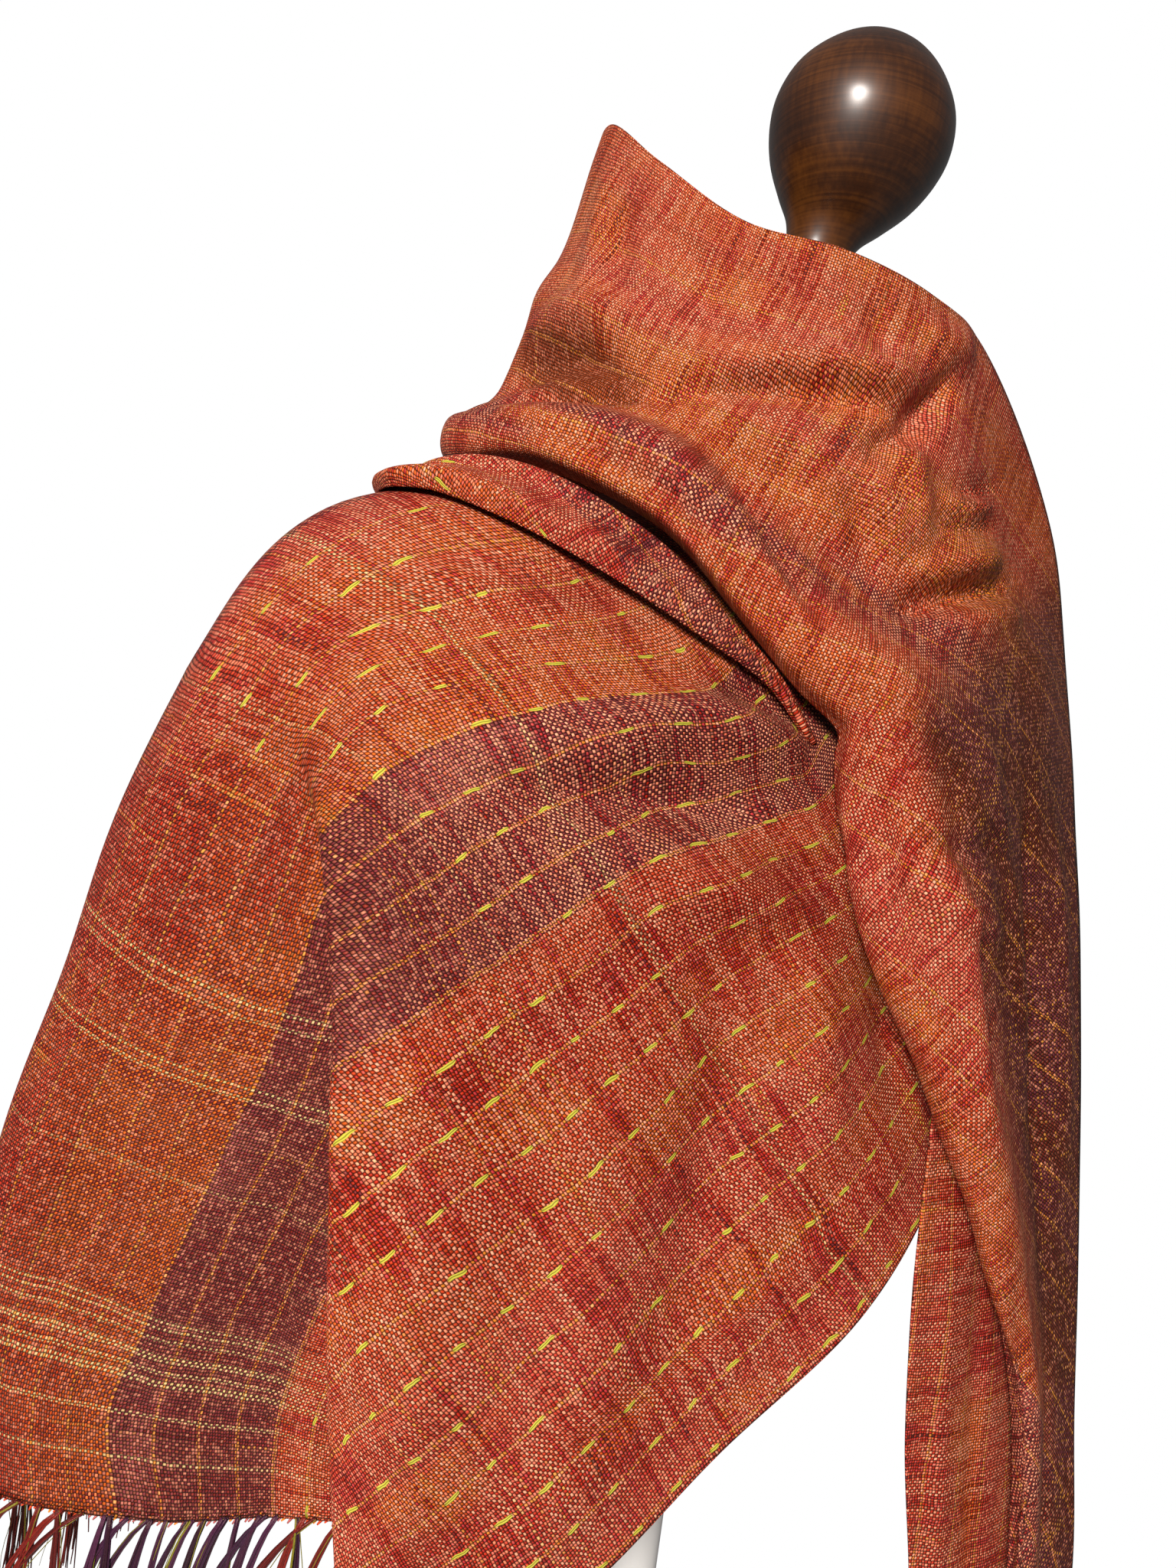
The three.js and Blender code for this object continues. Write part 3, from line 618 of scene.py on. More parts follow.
# Creases by stretch: millimetres outwards, half width, then the (angle, height) places of the line.
# The inner fold has none, because its form already holds its two ridges.
CREASES: dict[str, tuple[tuple[float, float, tuple[tuple[float, float], ...]], ...]] = {
    "cowl_and_fall": (
        (-9.0, 5.0, ((70, 1416), (59, 1420), (50, 1422), (40, 1423), (28, 1424), (16, 1427), (5, 1437))),
        (8.0, 8.0, ((66, 1430), (50, 1434), (38, 1435), (26, 1435), (14, 1441))),
        (-10.0, 5.5, ((0, 1446), (6, 1434), (12, 1422), (21, 1410), (29, 1403))),
        (6.0, 9.0, ((16, 1456), (6, 1454), (-5, 1462), (-12, 1460))),
        (-7.0, 4.0, ((112, 1417), (100, 1416), (90, 1416), (80, 1416), (64, 1419))),
        (-12.0, 9.0, ((118, 1430), (104, 1436), (92, 1437), (82, 1431), (70, 1420))),
        (5.0, 8.0, ((112, 1458), (98, 1458), (84, 1452), (72, 1446))),
        (-9.0, 4.5, ((16, 1350), (10, 1354), (4, 1358), (-3, 1363), (-14, 1369), (-24, 1374))),
        (6.0, 6.0, ((14, 1364), (4, 1370), (-8, 1376), (-20, 1384))),
        (5.0, 6.0, ((10, 1343), (0, 1349), (-14, 1357), (-24, 1362))),
        (-3.2, 3.4, ((4, 1403), (-6, 1404), (-16, 1409), (-26, 1412))),
        (3.0, 3.6, ((6, 1394), (-6, 1396), (-18, 1402))),
        (-3.4, 3.4, ((8, 1386), (-2, 1388), (-12, 1392), (-22, 1398))),
        (3.6, 4.5, ((24, 1398), (18, 1384), (13, 1368))),
        (-4.5, 5.0, ((30, 1394), (25, 1378), (20, 1362))),
        (5.0, 7.0, ((20, 1420), (15, 1404), (11, 1384), (10, 1370))),
        (3.6, 6.0, ((44, 1414), (38, 1398), (30, 1380))),
        (-3.6, 6.0, ((73, 1484), (66, 1456), (59, 1434))),
        (2.2, 7.0, ((56, 1474), (50, 1452), (44, 1438))),
        (-3.6, 6.5, ((90, 1494), (86, 1466), (80, 1446))),
        (2.6, 7.0, ((100, 1518), (97, 1486), (94, 1462))),
        (-2.6, 6.0, ((30, 1464), (26, 1450), (22, 1438))),
        (-4.0, 4.0, ((86, 1398), (70, 1388), (56, 1368), (44, 1346), (36, 1328))),
        (3.4, 4.5, ((80, 1406), (64, 1394), (52, 1376), (42, 1354))),
        (-4.0, 4.0, ((56, 1392), (46, 1372), (38, 1350), (30, 1330))),
        (-5.0, 6.0, ((24, 1290), (22, 1264), (17, 1238), (10, 1212), (5, 1188))),
        (-6.0, 7.0, ((14, 1300), (8, 1262), (2, 1222), (-3, 1176))),
        (4.5, 7.0, ((5, 1312), (-5, 1262), (-11, 1212), (-15, 1158))),
        (-6.0, 6.5, ((-14, 1300), (-19, 1244), (-22, 1180), (-23, 1106))),
        (3.5, 6.0, ((-27, 1286), (-28, 1220), (-29, 1146))),
        (-4.5, 5.0, ((24, 1262), (14, 1268), (2, 1270), (-8, 1264))),
        (3.5, 6.0, ((18, 1252), (8, 1246), (-4, 1238))),
        (-3.0, 5.0, ((-7, 1130), (-13, 1080), (-17, 1020), (-18.5, 940))),
        (-3.0, 5.0, ((-24, 1110), (-25, 1044), (-25.5, 980), (-26, 930))),
        (-5.0, 9.0, ((146, 1500), (134, 1468), (124, 1440))),
        (4.0, 9.0, ((138, 1512), (124, 1486), (112, 1462)))),
    "end_a_and_front": (
        (-13.0, 7.5, ((76, 1262), (65, 1268), (55, 1271), (46, 1271), (37, 1269))),
        (11.0, 8.5, ((62, 1290), (52, 1299), (41, 1296), (30, 1292))),
        (-5.0, 6.0, ((50, 1314), (40, 1310), (28, 1306))),
        (7.0, 8.0, ((56, 1250), (48, 1244), (36, 1240), (24, 1236))),
        (4.0, 14.0, ((57, 1200), (52, 1150), (50, 1090), (52, 1040))),
        (-4.0, 13.0, ((44, 1236), (40, 1190), (40, 1140), (43, 1080))),
        (3.6, 12.0, ((28, 1236), (24, 1196), (22, 1150))),
        (-3.6, 10.0, ((12, 1240), (8, 1204), (6, 1168))),
        (4.5, 13.0, ((101, 1290), (101, 1200), (102, 1100), (102, 1030))),
        (-4.5, 11.0, ((94, 1296), (94, 1210), (95, 1120), (95, 1040))),
        (-3.0, 10.0, ((114, 1300), (115, 1210), (116, 1110), (116, 1030))),
        (4.0, 12.0, ((126, 1310), (128, 1220), (129, 1120), (129, 1040))),
        (-4.0, 12.0, ((136, 1300), (138, 1200), (138, 1100), (137, 1036))),
        (2.5, 6.0, ((90, 1330), (78, 1332), (66, 1326))),
        (-2.5, 7.0, ((84, 1180), (82, 1120), (80, 1060)))),
    "back": (
        (4.5, 8.0, ((-74, 1300), (-100, 1296), (-126, 1312), (-150, 1340), (-176, 1392))),
        (4.0, 7.0, ((-70, 1270), (-98, 1256), (-130, 1262), (-160, 1296), (-190, 1356))),
        (-3.0, 7.0, ((-140, 1290), (-164, 1318), (-190, 1384))),
        (3.5, 7.0, ((-128, 1400), (-156, 1424), (-184, 1466))),
        (3.5, 6.0, ((-96, 1236), (-120, 1226), (-146, 1234)))),
    "end_b": (
        (1.8, 5.0, ((-8, 1150), (-12, 1060), (-16, 960))),
        (-1.6, 4.0, ((-2, 1130), (-6, 1050), (-10, 960)))),
}


def creases_of(name: str) -> tuple[Crease, ...]:
    """The creases laid in one stretch."""
    return tuple(Crease(line, height, width) for height, width, line in CREASES.get(name, ()))


def scarf_stretches() -> dict[str, Stretch]:
    """The scarf's stretches, each with its place on the flat cloth.

    Returns:
        The stretches by name, from End A to End B.
    """
    made = (
        Stretch("end_a_and_front", np.array(SHAWL, float), 255, 85, Layout(
            first=((500, 380), (150, 560)), last=((520, 0), (0, 0), (0, 430)),
            guides=(Guide(Side.LAST_COLUMN, Axis.WARP, 0, 0, 6.5 / 17, 20),
                    Guide(Side.LAST_COLUMN, Axis.WEFT, 0, 9.5 / 17, 1, 20)),
            threads=SHAWL_THREADS, row_spans=17, column_spans=5)),
        Stretch("back", np.array(BACK, float), 80, 48, Layout(
            first=((520, 700), (520, 1450)), last=((370, 700), (370, 1450)),
            guides=(Guide(Side.FIRST_COLUMN, Axis.WEFT, 520, 0, 1, 5),
                    Guide(Side.LAST_ROW, Axis.WARP, 1451, 0, 1, 5)))),
        Stretch("cowl_and_fall", np.array(COWL, float), 240, 70, Layout(
            first=((520, 1450), (520, 2150)), last=((370, 1450), (370, 1700), (170, 2150)),
            guides=(Guide(Side.FIRST_COLUMN, Axis.WEFT, 520, 0, 7 / 15, 10),
                    Guide(Side.LAST_ROW, Axis.WARP, 2150, 0, 1, 5))), rests_on=("back", "inner_fold")),
        Stretch("inner_fold", fold_cells(INNER_FOLD), 96, 24, Layout(
            first=((300, 250), (300, 480)), last=((360, 250), (360, 480))),
                thickness=1.1, rests_on=("end_a_and_front",)),
        Stretch("end_b", np.array(END_B, float), 60, 24, Layout(
            first=((20, 1860), (20, 2150)), last=((120, 1860), (120, 2150)),
            guides=(Guide(Side.LAST_ROW, Axis.WARP, 2150, 0, 1, 5),)), rests_on=("end_a_and_front",)),
    )
    for stretch in made:
        stretch.creases = creases_of(stretch.name)
    return {stretch.name: stretch for stretch in made}


# ---- materials ----------------------------------------------------------------------------------------
class Graph:
    """The node tree of one finish, with short ways to add nodes to it."""

    def __init__(self, name: str) -> None:
        """Starts an empty finish with one principled shader.

        Args:
            name: The finish's name.
        """
        self.material = bpy.data.materials.new(name)
        self.material.use_nodes = True
        self.tree = self.material.node_tree
        self.tree.nodes.clear()
        self.shader = self.tree.nodes.new("ShaderNodeBsdfPrincipled")
        output = self.tree.nodes.new("ShaderNodeOutputMaterial")
        self.tree.links.new(self.shader.outputs["BSDF"], output.inputs["Surface"])

    def feed(self, socket: Socket, value: object) -> None:
        """Links an input to a socket, or sets its value.

        Args:
            socket: The input to feed.
            value: A socket, a number, a vector or a linear colour.
        """
        if isinstance(value, Socket):
            self.tree.links.new(value, socket)
        elif isinstance(value, tuple) and len(value) == 3 and socket.type == "RGBA":
            socket.default_value = (*value, 1.0)
        else:
            socket.default_value = value

    def add(self, kind: str, inputs: Sequence[object] = (), **settings: object) -> bpy.types.Node:
        """Adds a node.

        Args:
            kind: The node's type.
            inputs: Values or sockets for its first inputs; None leaves one as it is.
            settings: The node's own settings.

        Returns:
            The node.
        """
        node = self.tree.nodes.new(kind)
        for name, value in settings.items():
            setattr(node, name, value)
        for socket, value in zip(node.inputs, inputs):
            if value is not None:
                self.feed(socket, value)
        return node

    def math(self, operation: str, *values: object) -> Socket:
        """One step of arithmetic."""
        return self.add("ShaderNodeMath", values, operation=operation).outputs[0]

    def line(self, value: object, slope: object, start: object) -> Socket:
        """The value times slope, plus start."""
        return self.math("MULTIPLY_ADD", value, slope, start)

    def times(self, first: object, *others: object) -> Socket:
        """The product of two or more values.

        Args:
            first: The first value.
            others: The values that multiply it, in turn.

        Returns:
            The product.
        """
        product = first
        for other in others:
            product = self.math("MULTIPLY", product, other)
        return product

    def above(self, value: object, limit: object) -> Socket:
        """1 above the limit, otherwise 0."""
        return self.math("GREATER_THAN", value, limit)

    def below(self, value: object, limit: object) -> Socket:
        """1 below the limit, otherwise 0."""
        return self.math("LESS_THAN", value, limit)

    def within(self, value: object, low: float, high: float) -> Socket:
        """1 between low and high, otherwise 0."""
        return self.times(self.above(value, low), self.below(value, high))

    def band(self, place: object, centre: float, half: float) -> Socket:
        """1 within half of centre, otherwise 0."""
        return self.below(self.math("ABSOLUTE", self.math("SUBTRACT", place, centre)), half)

    def rise(self, value: object, low: float, high: float) -> Socket:
        """0 below low, 1 above high and soft between them."""
        ends = (value, low, high, 0.0, 1.0)
        return self.add("ShaderNodeMapRange", ends, interpolation_type="SMOOTHSTEP").outputs[0]

    def object_place(self) -> Socket:
        """The place on the piece, in its own metres."""
        return self.add("ShaderNodeTexCoord").outputs["Object"]

    def flat_place(self) -> Socket:
        """The place on the flat cloth, in metres: weft place, then warp place."""
        return self.add("ShaderNodeUVMap", uv_map="cloth").outputs[0]

    def split(self, vector: object) -> bpy.types.NodeOutputs:
        """A vector's three numbers."""
        return self.add("ShaderNodeSeparateXYZ", (vector,)).outputs

    def combine(self, x: object, y: object = 0.0, z: object = 0.0) -> Socket:
        """A vector from three numbers."""
        return self.add("ShaderNodeCombineXYZ", (x, y, z)).outputs[0]

    def noise(self, place: object, scale: float, detail: float = 2.0) -> Socket:
        """Soft noise from 0 to 1."""
        return self.add("ShaderNodeTexNoise", (place, None, scale, detail)).outputs[0]

    def sway(self, place: object, scale: float) -> bpy.types.NodeOutputs:
        """Three unlike soft noises from 0 to 1."""
        return self.split(self.add("ShaderNodeTexNoise", (place, None, scale, 1.0)).outputs[1])

    def random(self, place: object) -> Socket:
        """An unrelated number from 0 to 1 for each whole place."""
        return self.add("ShaderNodeTexWhiteNoise", (place,), noise_dimensions="2D").outputs[0]

    def mix(self, share: object, first: object, second: object, blend: str = "MIX") -> Socket:
        """One colour worked into another.

        Args:
            share: How much of the second colour shows, from 0 to 1.
            first: The first colour.
            second: The second colour.
            blend: How the second colour is worked in.

        Returns:
            The mixed colour.
        """
        node = self.tree.nodes.new("ShaderNodeMix")
        node.data_type, node.blend_type = "RGBA", blend
        for socket, value in zip((node.inputs[0], node.inputs[6], node.inputs[7]), (share, first, second)):
            self.feed(socket, value)
        return node.outputs[2]

    def ramp(self, value: object, stops: Sequence[tuple[float, Colour]]) -> Socket:
        """A colour from a scale of stops.

        Args:
            value: The place on the scale, from 0 to 1.
            stops: Each stop's place and colour, in order.

        Returns:
            The colour.
        """
        node = self.add("ShaderNodeValToRGB", (value,))
        marks = node.color_ramp.elements
        while len(marks) < len(stops):
            marks.new(0.5)
        for mark, (place, colour) in zip(marks, stops):
            mark.position = place
            mark.color = (*colour, 1.0)
        return node.outputs[0]

    def scaled(self, colour: object, share: object) -> Socket:
        """A colour made darker or lighter by a number."""
        return self.mix(1.0, colour, self.combine(share, share, share), "MULTIPLY")

    def bump(self, height: object, depth: float, strength: float) -> None:
        """Gives the shader a relief.

        Args:
            height: The relief's height, from 0 to about 1.
            depth: What a height of 1 stands for, in metres.
            strength: How strongly it shows, from 0 to 1.
        """
        node = self.add("ShaderNodeBump")
        node.inputs["Strength"].default_value = strength
        node.inputs["Distance"].default_value = depth
        self.feed(node.inputs["Height"], height)
        self.tree.links.new(node.outputs["Normal"], self.shader.inputs["Normal"])

    def finish(self, colour: object, roughness: object, **constants: object) -> bpy.types.Material:
        """Sets the shader's sockets.

        Args:
            colour: The base colour.
            roughness: The roughness.
            constants: Any other sockets, by their names with _ for a space.

        Returns:
            The material.
        """
        self.feed(self.shader.inputs["Base Color"], colour)
        self.feed(self.shader.inputs["Roughness"], roughness)
        for name, value in constants.items():
            self.feed(self.shader.inputs[name.replace("_", " ")], value)
        return self.material


@dataclass(frozen=True)
class Wool:
    """The dyed yarns' colours, linear; russet, rust, wine and tan serve only as painted shade and shadow."""

    crimson: Colour = (0.40, 0.019, 0.007)
    orange: Colour = (0.60, 0.105, 0.012)
    tangerine: Colour = (0.72, 0.16, 0.03)
    terracotta: Colour = (0.50, 0.046, 0.011)
    pink: Colour = (0.52, 0.050, 0.032)
    plum: Colour = (0.150, 0.020, 0.026)
    grape: Colour = (0.10, 0.018, 0.034)
    wine: Colour = (0.15, 0.018, 0.014)
    amber: Colour = (0.66, 0.20, 0.015)
    ochre: Colour = (0.46, 0.18, 0.03)
    peach: Colour = (0.78, 0.175, 0.085)
    shell: Colour = (0.92, 0.36, 0.22)
    rose: Colour = (0.58, 0.075, 0.042)
    rosewood: Colour = (0.18, 0.035, 0.028)
    magenta: Colour = (0.48, 0.034, 0.042)
    gold: Colour = (0.78, 0.33, 0.06)
    mauve: Colour = (0.36, 0.085, 0.080)
    cream: Colour = (0.80, 0.62, 0.26)
    olive: Colour = (0.44, 0.40, 0.045)
    moss: Colour = (0.15, 0.13, 0.010)
    tan: Colour = (0.28, 0.055, 0.014)
    rust: Colour = (0.20, 0.032, 0.007)
    russet: Colour = (0.16, 0.020, 0.004)
    umber: Colour = (0.20, 0.05, 0.02)
    brown: Colour = (0.085, 0.012, 0.006)
    dark: Colour = (0.05, 0.004, 0.004)


WOOL = Wool()

# The warp's dyed bands, by their share of the cloth's width.
WARP_BANDS: tuple[tuple[float, Colour], ...] = (
    (0.0, WOOL.pink), (0.06, WOOL.crimson), (0.115, WOOL.pink), (0.17, WOOL.terracotta),
    (0.235, WOOL.crimson), (0.282, WOOL.terracotta), (0.400, WOOL.orange), (0.50, WOOL.terracotta),
    (0.56, WOOL.pink), (0.62, WOOL.crimson), (0.68, WOOL.orange), (0.735, WOOL.terracotta),
    (0.745, WOOL.plum), (0.785, WOOL.plum), (0.80, WOOL.terracotta), (0.86, WOOL.amber),
    (0.91, WOOL.pink), (0.96, WOOL.orange), (1.0, WOOL.crimson))

# The weft's colours, from its darkest yarn to its brightest, and the flecks of its aged part.
WEFT_TONES: tuple[tuple[float, Colour], ...] = (
    (0.34, WOOL.plum), (0.395, WOOL.crimson), (0.44, WOOL.magenta), (0.49, WOOL.peach),
    (0.545, WOOL.shell), (0.585, WOOL.rose), (0.62, WOOL.peach), (0.68, WOOL.gold))
WEFT_FLECKS: tuple[tuple[float, Colour], ...] = (
    (0.45, WOOL.brown), (0.60, WOOL.rosewood), (0.80, WOOL.umber), (0.90, WOOL.ochre))

# Weft stripes near End A: middle and half width in metres, and for the cream ones how strongly each shows.
WIDE_CREAM_STRIPE = (0.270, 0.00055, 0.62)
CREAM_STRIPES: tuple[tuple[float, float, float], ...] = (
    (0.2712, 0.0006, 0.25), (0.1335, 0.0006, 0.6), (0.1372, 0.0006, 0.6), (0.1585, 0.0006, 0.45),
    (0.1625, 0.0006, 0.6), (0.0585, 0.0006, 0.55), (0.0562, 0.0006, 0.6), (0.0528, 0.0006, 0.55),
    (0.0475, 0.0011, 0.6), (0.0432, 0.0006, 0.6), (0.0400, 0.0011, 0.62), (0.0295, 0.0006, 0.6),
    (0.0165, 0.0006, 0.55), (0.101, 0.0006, 0.3), (0.226, 0.0006, 0.3))
PLUM_STRIPES: tuple[tuple[float, float], ...] = (
    (0.1305, 0.0011), (0.201, 0.0006), (0.2045, 0.0006), (0.063, 0.0011), (0.0345, 0.0017))


@dataclass(frozen=True)
class WovenCloth:
    """Plain weave of space-dyed yarn, with thin accent warps, floats and weft stripes.

    Places are metres on the flat cloth: x is the weft place and y the warp place. Shares are from 0 to 1.
    """

    pitch: float = THREAD_PITCH * MM
    slow_sway: float = 0.0034
    fine_sway: float = 0.0008
    bead_slant: float = 0.22
    bead_powers: tuple[float, float] = (0.85, 0.50)
    # Share of painted glints: pale beads mixed in to stand for the silk's highlights.
    glint_share: float = 0.30
    accent_spacing: float = 0.0146
    accent_start: float = 0.0021
    accent_share: float = 0.8
    float_spacing: float = 0.0172
    float_half: float = 0.00056
    float_strand: float = 0.0002
    floats_right: float = 0.292
    floats_left: float = 0.135
    floats_foot: float = 0.215
    floats_top: float = 0.62
    plum_start: float = 0.148
    plum_end: float = 0.2065
    second_plum: tuple[float, float] = (0.311, 0.013)
    second_plum_top: float = 0.66
    # Painted shadow on the collar's left, just above the roll: its place, half size and strength.
    shadow_patch_place: tuple[float, float] = (0.433, 1.580)
    shadow_patch_half: tuple[float, float] = (0.0125, 0.046)
    shadow_patch_share: float = 0.75
    collar_share: float = 0.62
    stray_share: float = 0.55
    plum_stripe_share: float = 0.55
    relief: float = 0.00045

    def material(self) -> bpy.types.Material:
        """Builds the finish.

        Returns:
            The material.
        """
        g = Graph("plain_weave")
        x, y = self._swayed(g, g.flat_place())
        warp_place, weft_place = g.math("DIVIDE", x, self.pitch), g.math("DIVIDE", y, self.pitch)
        warp, weft = g.math("FLOOR", warp_place), g.math("FLOOR", weft_place)
        over = g.math("PINGPONG", g.math("ADD", warp, weft), 1.0)
        bead = self._bead(g, over, g.math("FRACT", warp_place), g.math("FRACT", weft_place))
        colour = g.mix(over, self._weft_colour(g, warp, weft, x, y), self._warp_colour(g, warp, weft, x, y))
        # Painted glints: the beads picked highest at random are mixed towards pale shell, and every bead is
        # brightened or dimmed at random, standing in for the silk's highlights.
        glint_pick = g.random(g.combine(warp, weft))
        colour = g.mix(g.times(g.rise(glint_pick, 0.72, 0.95), self.glint_share), colour, WOOL.shell)
        # Painted shade: each bead's colour darkens towards its edges, so the crevices between yarns are dark in
        # the colour as well as in the relief.
        lit = g.math("MAXIMUM", g.line(bead, 1.16, -0.10), 0.03)
        colour = g.scaled(colour, g.times(lit, g.line(glint_pick, 0.36, 0.80)))
        inside, crown, strand = self._floats(g, x, y)
        # Painted shade on the floats: darker towards their rounded ends and in the grooves between their
        # strands.
        floss = g.scaled(g.mix(strand, WOOL.moss, WOOL.olive), g.line(crown, 0.5, 0.55))
        colour = g.mix(inside, colour, floss)
        raised = g.times(inside, g.line(strand, 0.5, 1.2))
        g.bump(g.math("MAXIMUM", bead, raised), self.relief, 0.75)
        return g.finish(colour, 0.44, Sheen_Weight=0.02, Sheen_Roughness=0.4, Sheen_Tint=(1.0, 0.45, 0.25),
                        Specular_IOR_Level=0.18, Specular_Tint=(1.0, 0.62, 0.42))

    def _swayed(self, g: Graph, flat: object) -> tuple[Socket, Socket]:
        """The flat place, bent a little so that threads wander as hand-beaten ones do.

        Args:
            g: The finish's nodes.
            flat: The place on the flat cloth.

        Returns:
            The weft place and the warp place.
        """
        places, slow, fine = g.split(flat), g.sway(flat, 30.0), g.sway(flat, 320.0)
        swayed = []
        for k in range(2):
            bend = g.line(g.math("SUBTRACT", slow[k], 0.5), self.slow_sway, places[k])
            swayed.append(g.line(g.math("SUBTRACT", fine[k], 0.5), self.fine_sway, bend))
        return swayed[0], swayed[1]

    def _bead(self, g: Graph, over: object, across: object, along: object) -> Socket:
        """The rounded, slightly slanted yarn that lies on top at a crossing.

        Args:
            g: The finish's nodes.
            over: 1 where the warp is on top and 0 where the weft is.
            across: The place between one warp yarn and the next, from 0 to 1.
            along: The place between one weft yarn and the next, from 0 to 1.

        Returns:
            The yarn's height, from 0 to 1.
        """
        slanted = g.line(g.math("SUBTRACT", along, 0.5), self.bead_slant, across)
        warp_hump = g.math("MAXIMUM", g.math("SINE", g.times(slanted, math.pi)), 0.02)
        weft_hump = g.math("SINE", g.times(along, math.pi))
        under = g.math("SUBTRACT", 1.0, over)
        thick = g.line(warp_hump, over, g.times(weft_hump, under))
        long = g.line(weft_hump, over, g.times(warp_hump, under))
        return g.times(g.math("POWER", thick, self.bead_powers[0]), g.math("POWER", long, self.bead_powers[1]))

    def _accent(self, g: Graph, x: object) -> tuple[Socket, Socket]:
        """The accent warp nearest a place.

        Args:
            g: The finish's nodes.
            x: The weft place.

        Returns:
            The accent warp's number, and the distance to it in metres.
        """
        spaces = g.math("DIVIDE", g.math("SUBTRACT", x, self.accent_start), self.accent_spacing)
        place = g.math("ADD", spaces, 0.5)
        away = g.times(g.math("SUBTRACT", g.math("FRACT", place), 0.5), self.accent_spacing)
        return g.math("FLOOR", place), away

    def _floats(self, g: Graph, x: object, y: object) -> tuple[Socket, Socket, Socket]:
        """The accent yarn's floats near End A.

        Args:
            g: The finish's nodes.
            x: The weft place.
            y: The warp place.

        Returns:
            Where a float lies, its rounded height and its strands, each from 0 to 1.
        """
        line, away = self._accent(g, x)
        start = g.times(g.random(g.combine(line, 2.0)), 9.0)
        place = g.math("ADD", g.math("DIVIDE", y, self.float_spacing), start)
        cell, part = g.math("FLOOR", place), g.math("FRACT", place)
        length = g.line(g.random(g.combine(line, cell)), 0.24, 0.20)
        share = g.math("DIVIDE", g.math("SUBTRACT", part, 0.3), length)
        middle = g.math("ABSOLUTE", g.line(share, 2.0, -1.0))
        rounded = g.math("SUBTRACT", 1.0, g.math("POWER", middle, 4.0))
        crown = g.math("SQRT", g.math("MAXIMUM", rounded, 0.0))
        wander = g.math("SINE", g.line(line, 2.3, g.times(place, 7.0)))
        away = g.line(wander, 0.0003, away)
        near = g.below(g.math("ABSOLUTE", away), g.times(crown, self.float_half))
        there = g.above(g.random(g.combine(cell, line)), 0.16)
        here = g.math("MAXIMUM", g.above(y, self.floats_foot), g.below(x, self.floats_left))
        here = g.times(here, g.below(y, self.floats_top), g.below(x, self.floats_right))
        strand = g.math("ABSOLUTE", g.math("SINE", g.math("DIVIDE", away, self.float_strand)))
        return g.times(near, there, here), crown, strand

    def _warp_colour(self, g: Graph, warp: object, weft: object, x: object, y: object) -> Socket:
        """The warp yarns' colour: bands across the width, dyed unevenly along their length.

        Args:
            g: The finish's nodes.
            warp: The warp yarn's number.
            weft: The weft yarn's number.
            x: The weft place.
            y: The warp place.

        Returns:
            The colour.
        """
        single = g.random(g.combine(warp, 3.0))
        place = g.times(g.line(g.math("SUBTRACT", single, 0.5), 5.0, warp), self.pitch)
        bands = g.ramp(g.math("DIVIDE", place, CLOTH_WIDTH * MM), WARP_BANDS)
        lengthwise = g.noise(g.combine(g.times(warp, 0.045), g.times(weft, 0.014)), 1.0, 3.0)
        dyed = g.mix(g.rise(lengthwise, 0.50, 0.68), bands, WOOL.orange)
        dyed = g.mix(g.times(g.rise(lengthwise, 0.46, 0.32), 0.8), dyed, WOOL.crimson)
        plum = g.mix(g.rise(lengthwise, 0.55, 0.75), WOOL.plum, WOOL.mauve)
        dyed = g.mix(g.within(place, self.plum_start, self.plum_end), dyed, plum)
        aged = g.mix(g.rise(lengthwise, 0.42, 0.56), WOOL.brown, WOOL.grape)
        dyed = g.mix(self._aged(g, place, y), dyed, aged)
        collar_run = g.times(g.rise(y, 1.48, 1.54), g.rise(y, 1.80, 1.74))
        collar = g.times(g.rise(place, 0.425, 0.445), collar_run)
        collar_dye = g.mix(g.rise(lengthwise, 0.42, 0.58), WOOL.rose, WOOL.tangerine)
        dyed = g.mix(g.times(collar, self.collar_share), dyed, collar_dye)
        # Painted shadow on the collar above the roll, mixed in as darker warp.
        dyed = g.mix(self._painted_shadow_patch(g, place, y), dyed, WOOL.russet)
        second = g.times(g.below(y, self.second_plum_top), g.band(place, *self.second_plum))
        dyed = g.mix(second, dyed, WOOL.plum)
        dyed = g.scaled(dyed, g.line(single, 0.5, 0.75))
        line, away = self._accent(g, x)
        kept = g.math("MAXIMUM", g.below(x, self.floats_right), g.above(g.random(g.combine(line, 7.0)), 0.45))
        accent = g.times(g.below(g.math("ABSOLUTE", away), 0.53 * self.pitch), kept)
        bright = g.mix(g.random(g.combine(weft, line)), WOOL.gold, WOOL.amber)
        return g.mix(g.times(accent, self.accent_share), dyed, bright)

    def _weft_colour(self, g: Graph, warp: object, weft: object, x: object, y: object) -> Socket:
        """The weft yarns' colour: pale silky picks, shot with dark ones, and cream stripes near the end.

        Args:
            g: The finish's nodes.
            warp: The warp yarn's number.
            weft: The weft yarn's number.
            x: The weft place.
            y: The warp place.

        Returns:
            The colour.
        """
        across = g.times(x, 21.0)
        slow = g.noise(g.combine(g.times(weft, 0.085), across), 1.0, 2.0)
        quick = g.noise(g.combine(g.times(weft, 0.71), across, 4.0), 1.0, 1.0)
        base = g.ramp(g.line(slow, 0.5, g.times(quick, 0.5)), WEFT_TONES)
        shaded = g.within(x, self.plum_start, self.plum_end)
        base = g.mix(g.times(shaded, g.times(g.rise(quick, 0.46, 0.56), 0.36)), base, WOOL.shell)
        fleck = g.random(g.combine(g.math("FLOOR", g.math("DIVIDE", warp, 2.0)), weft))
        base = g.mix(self._aged(g, x, y), base, g.ramp(fleck, WEFT_FLECKS))
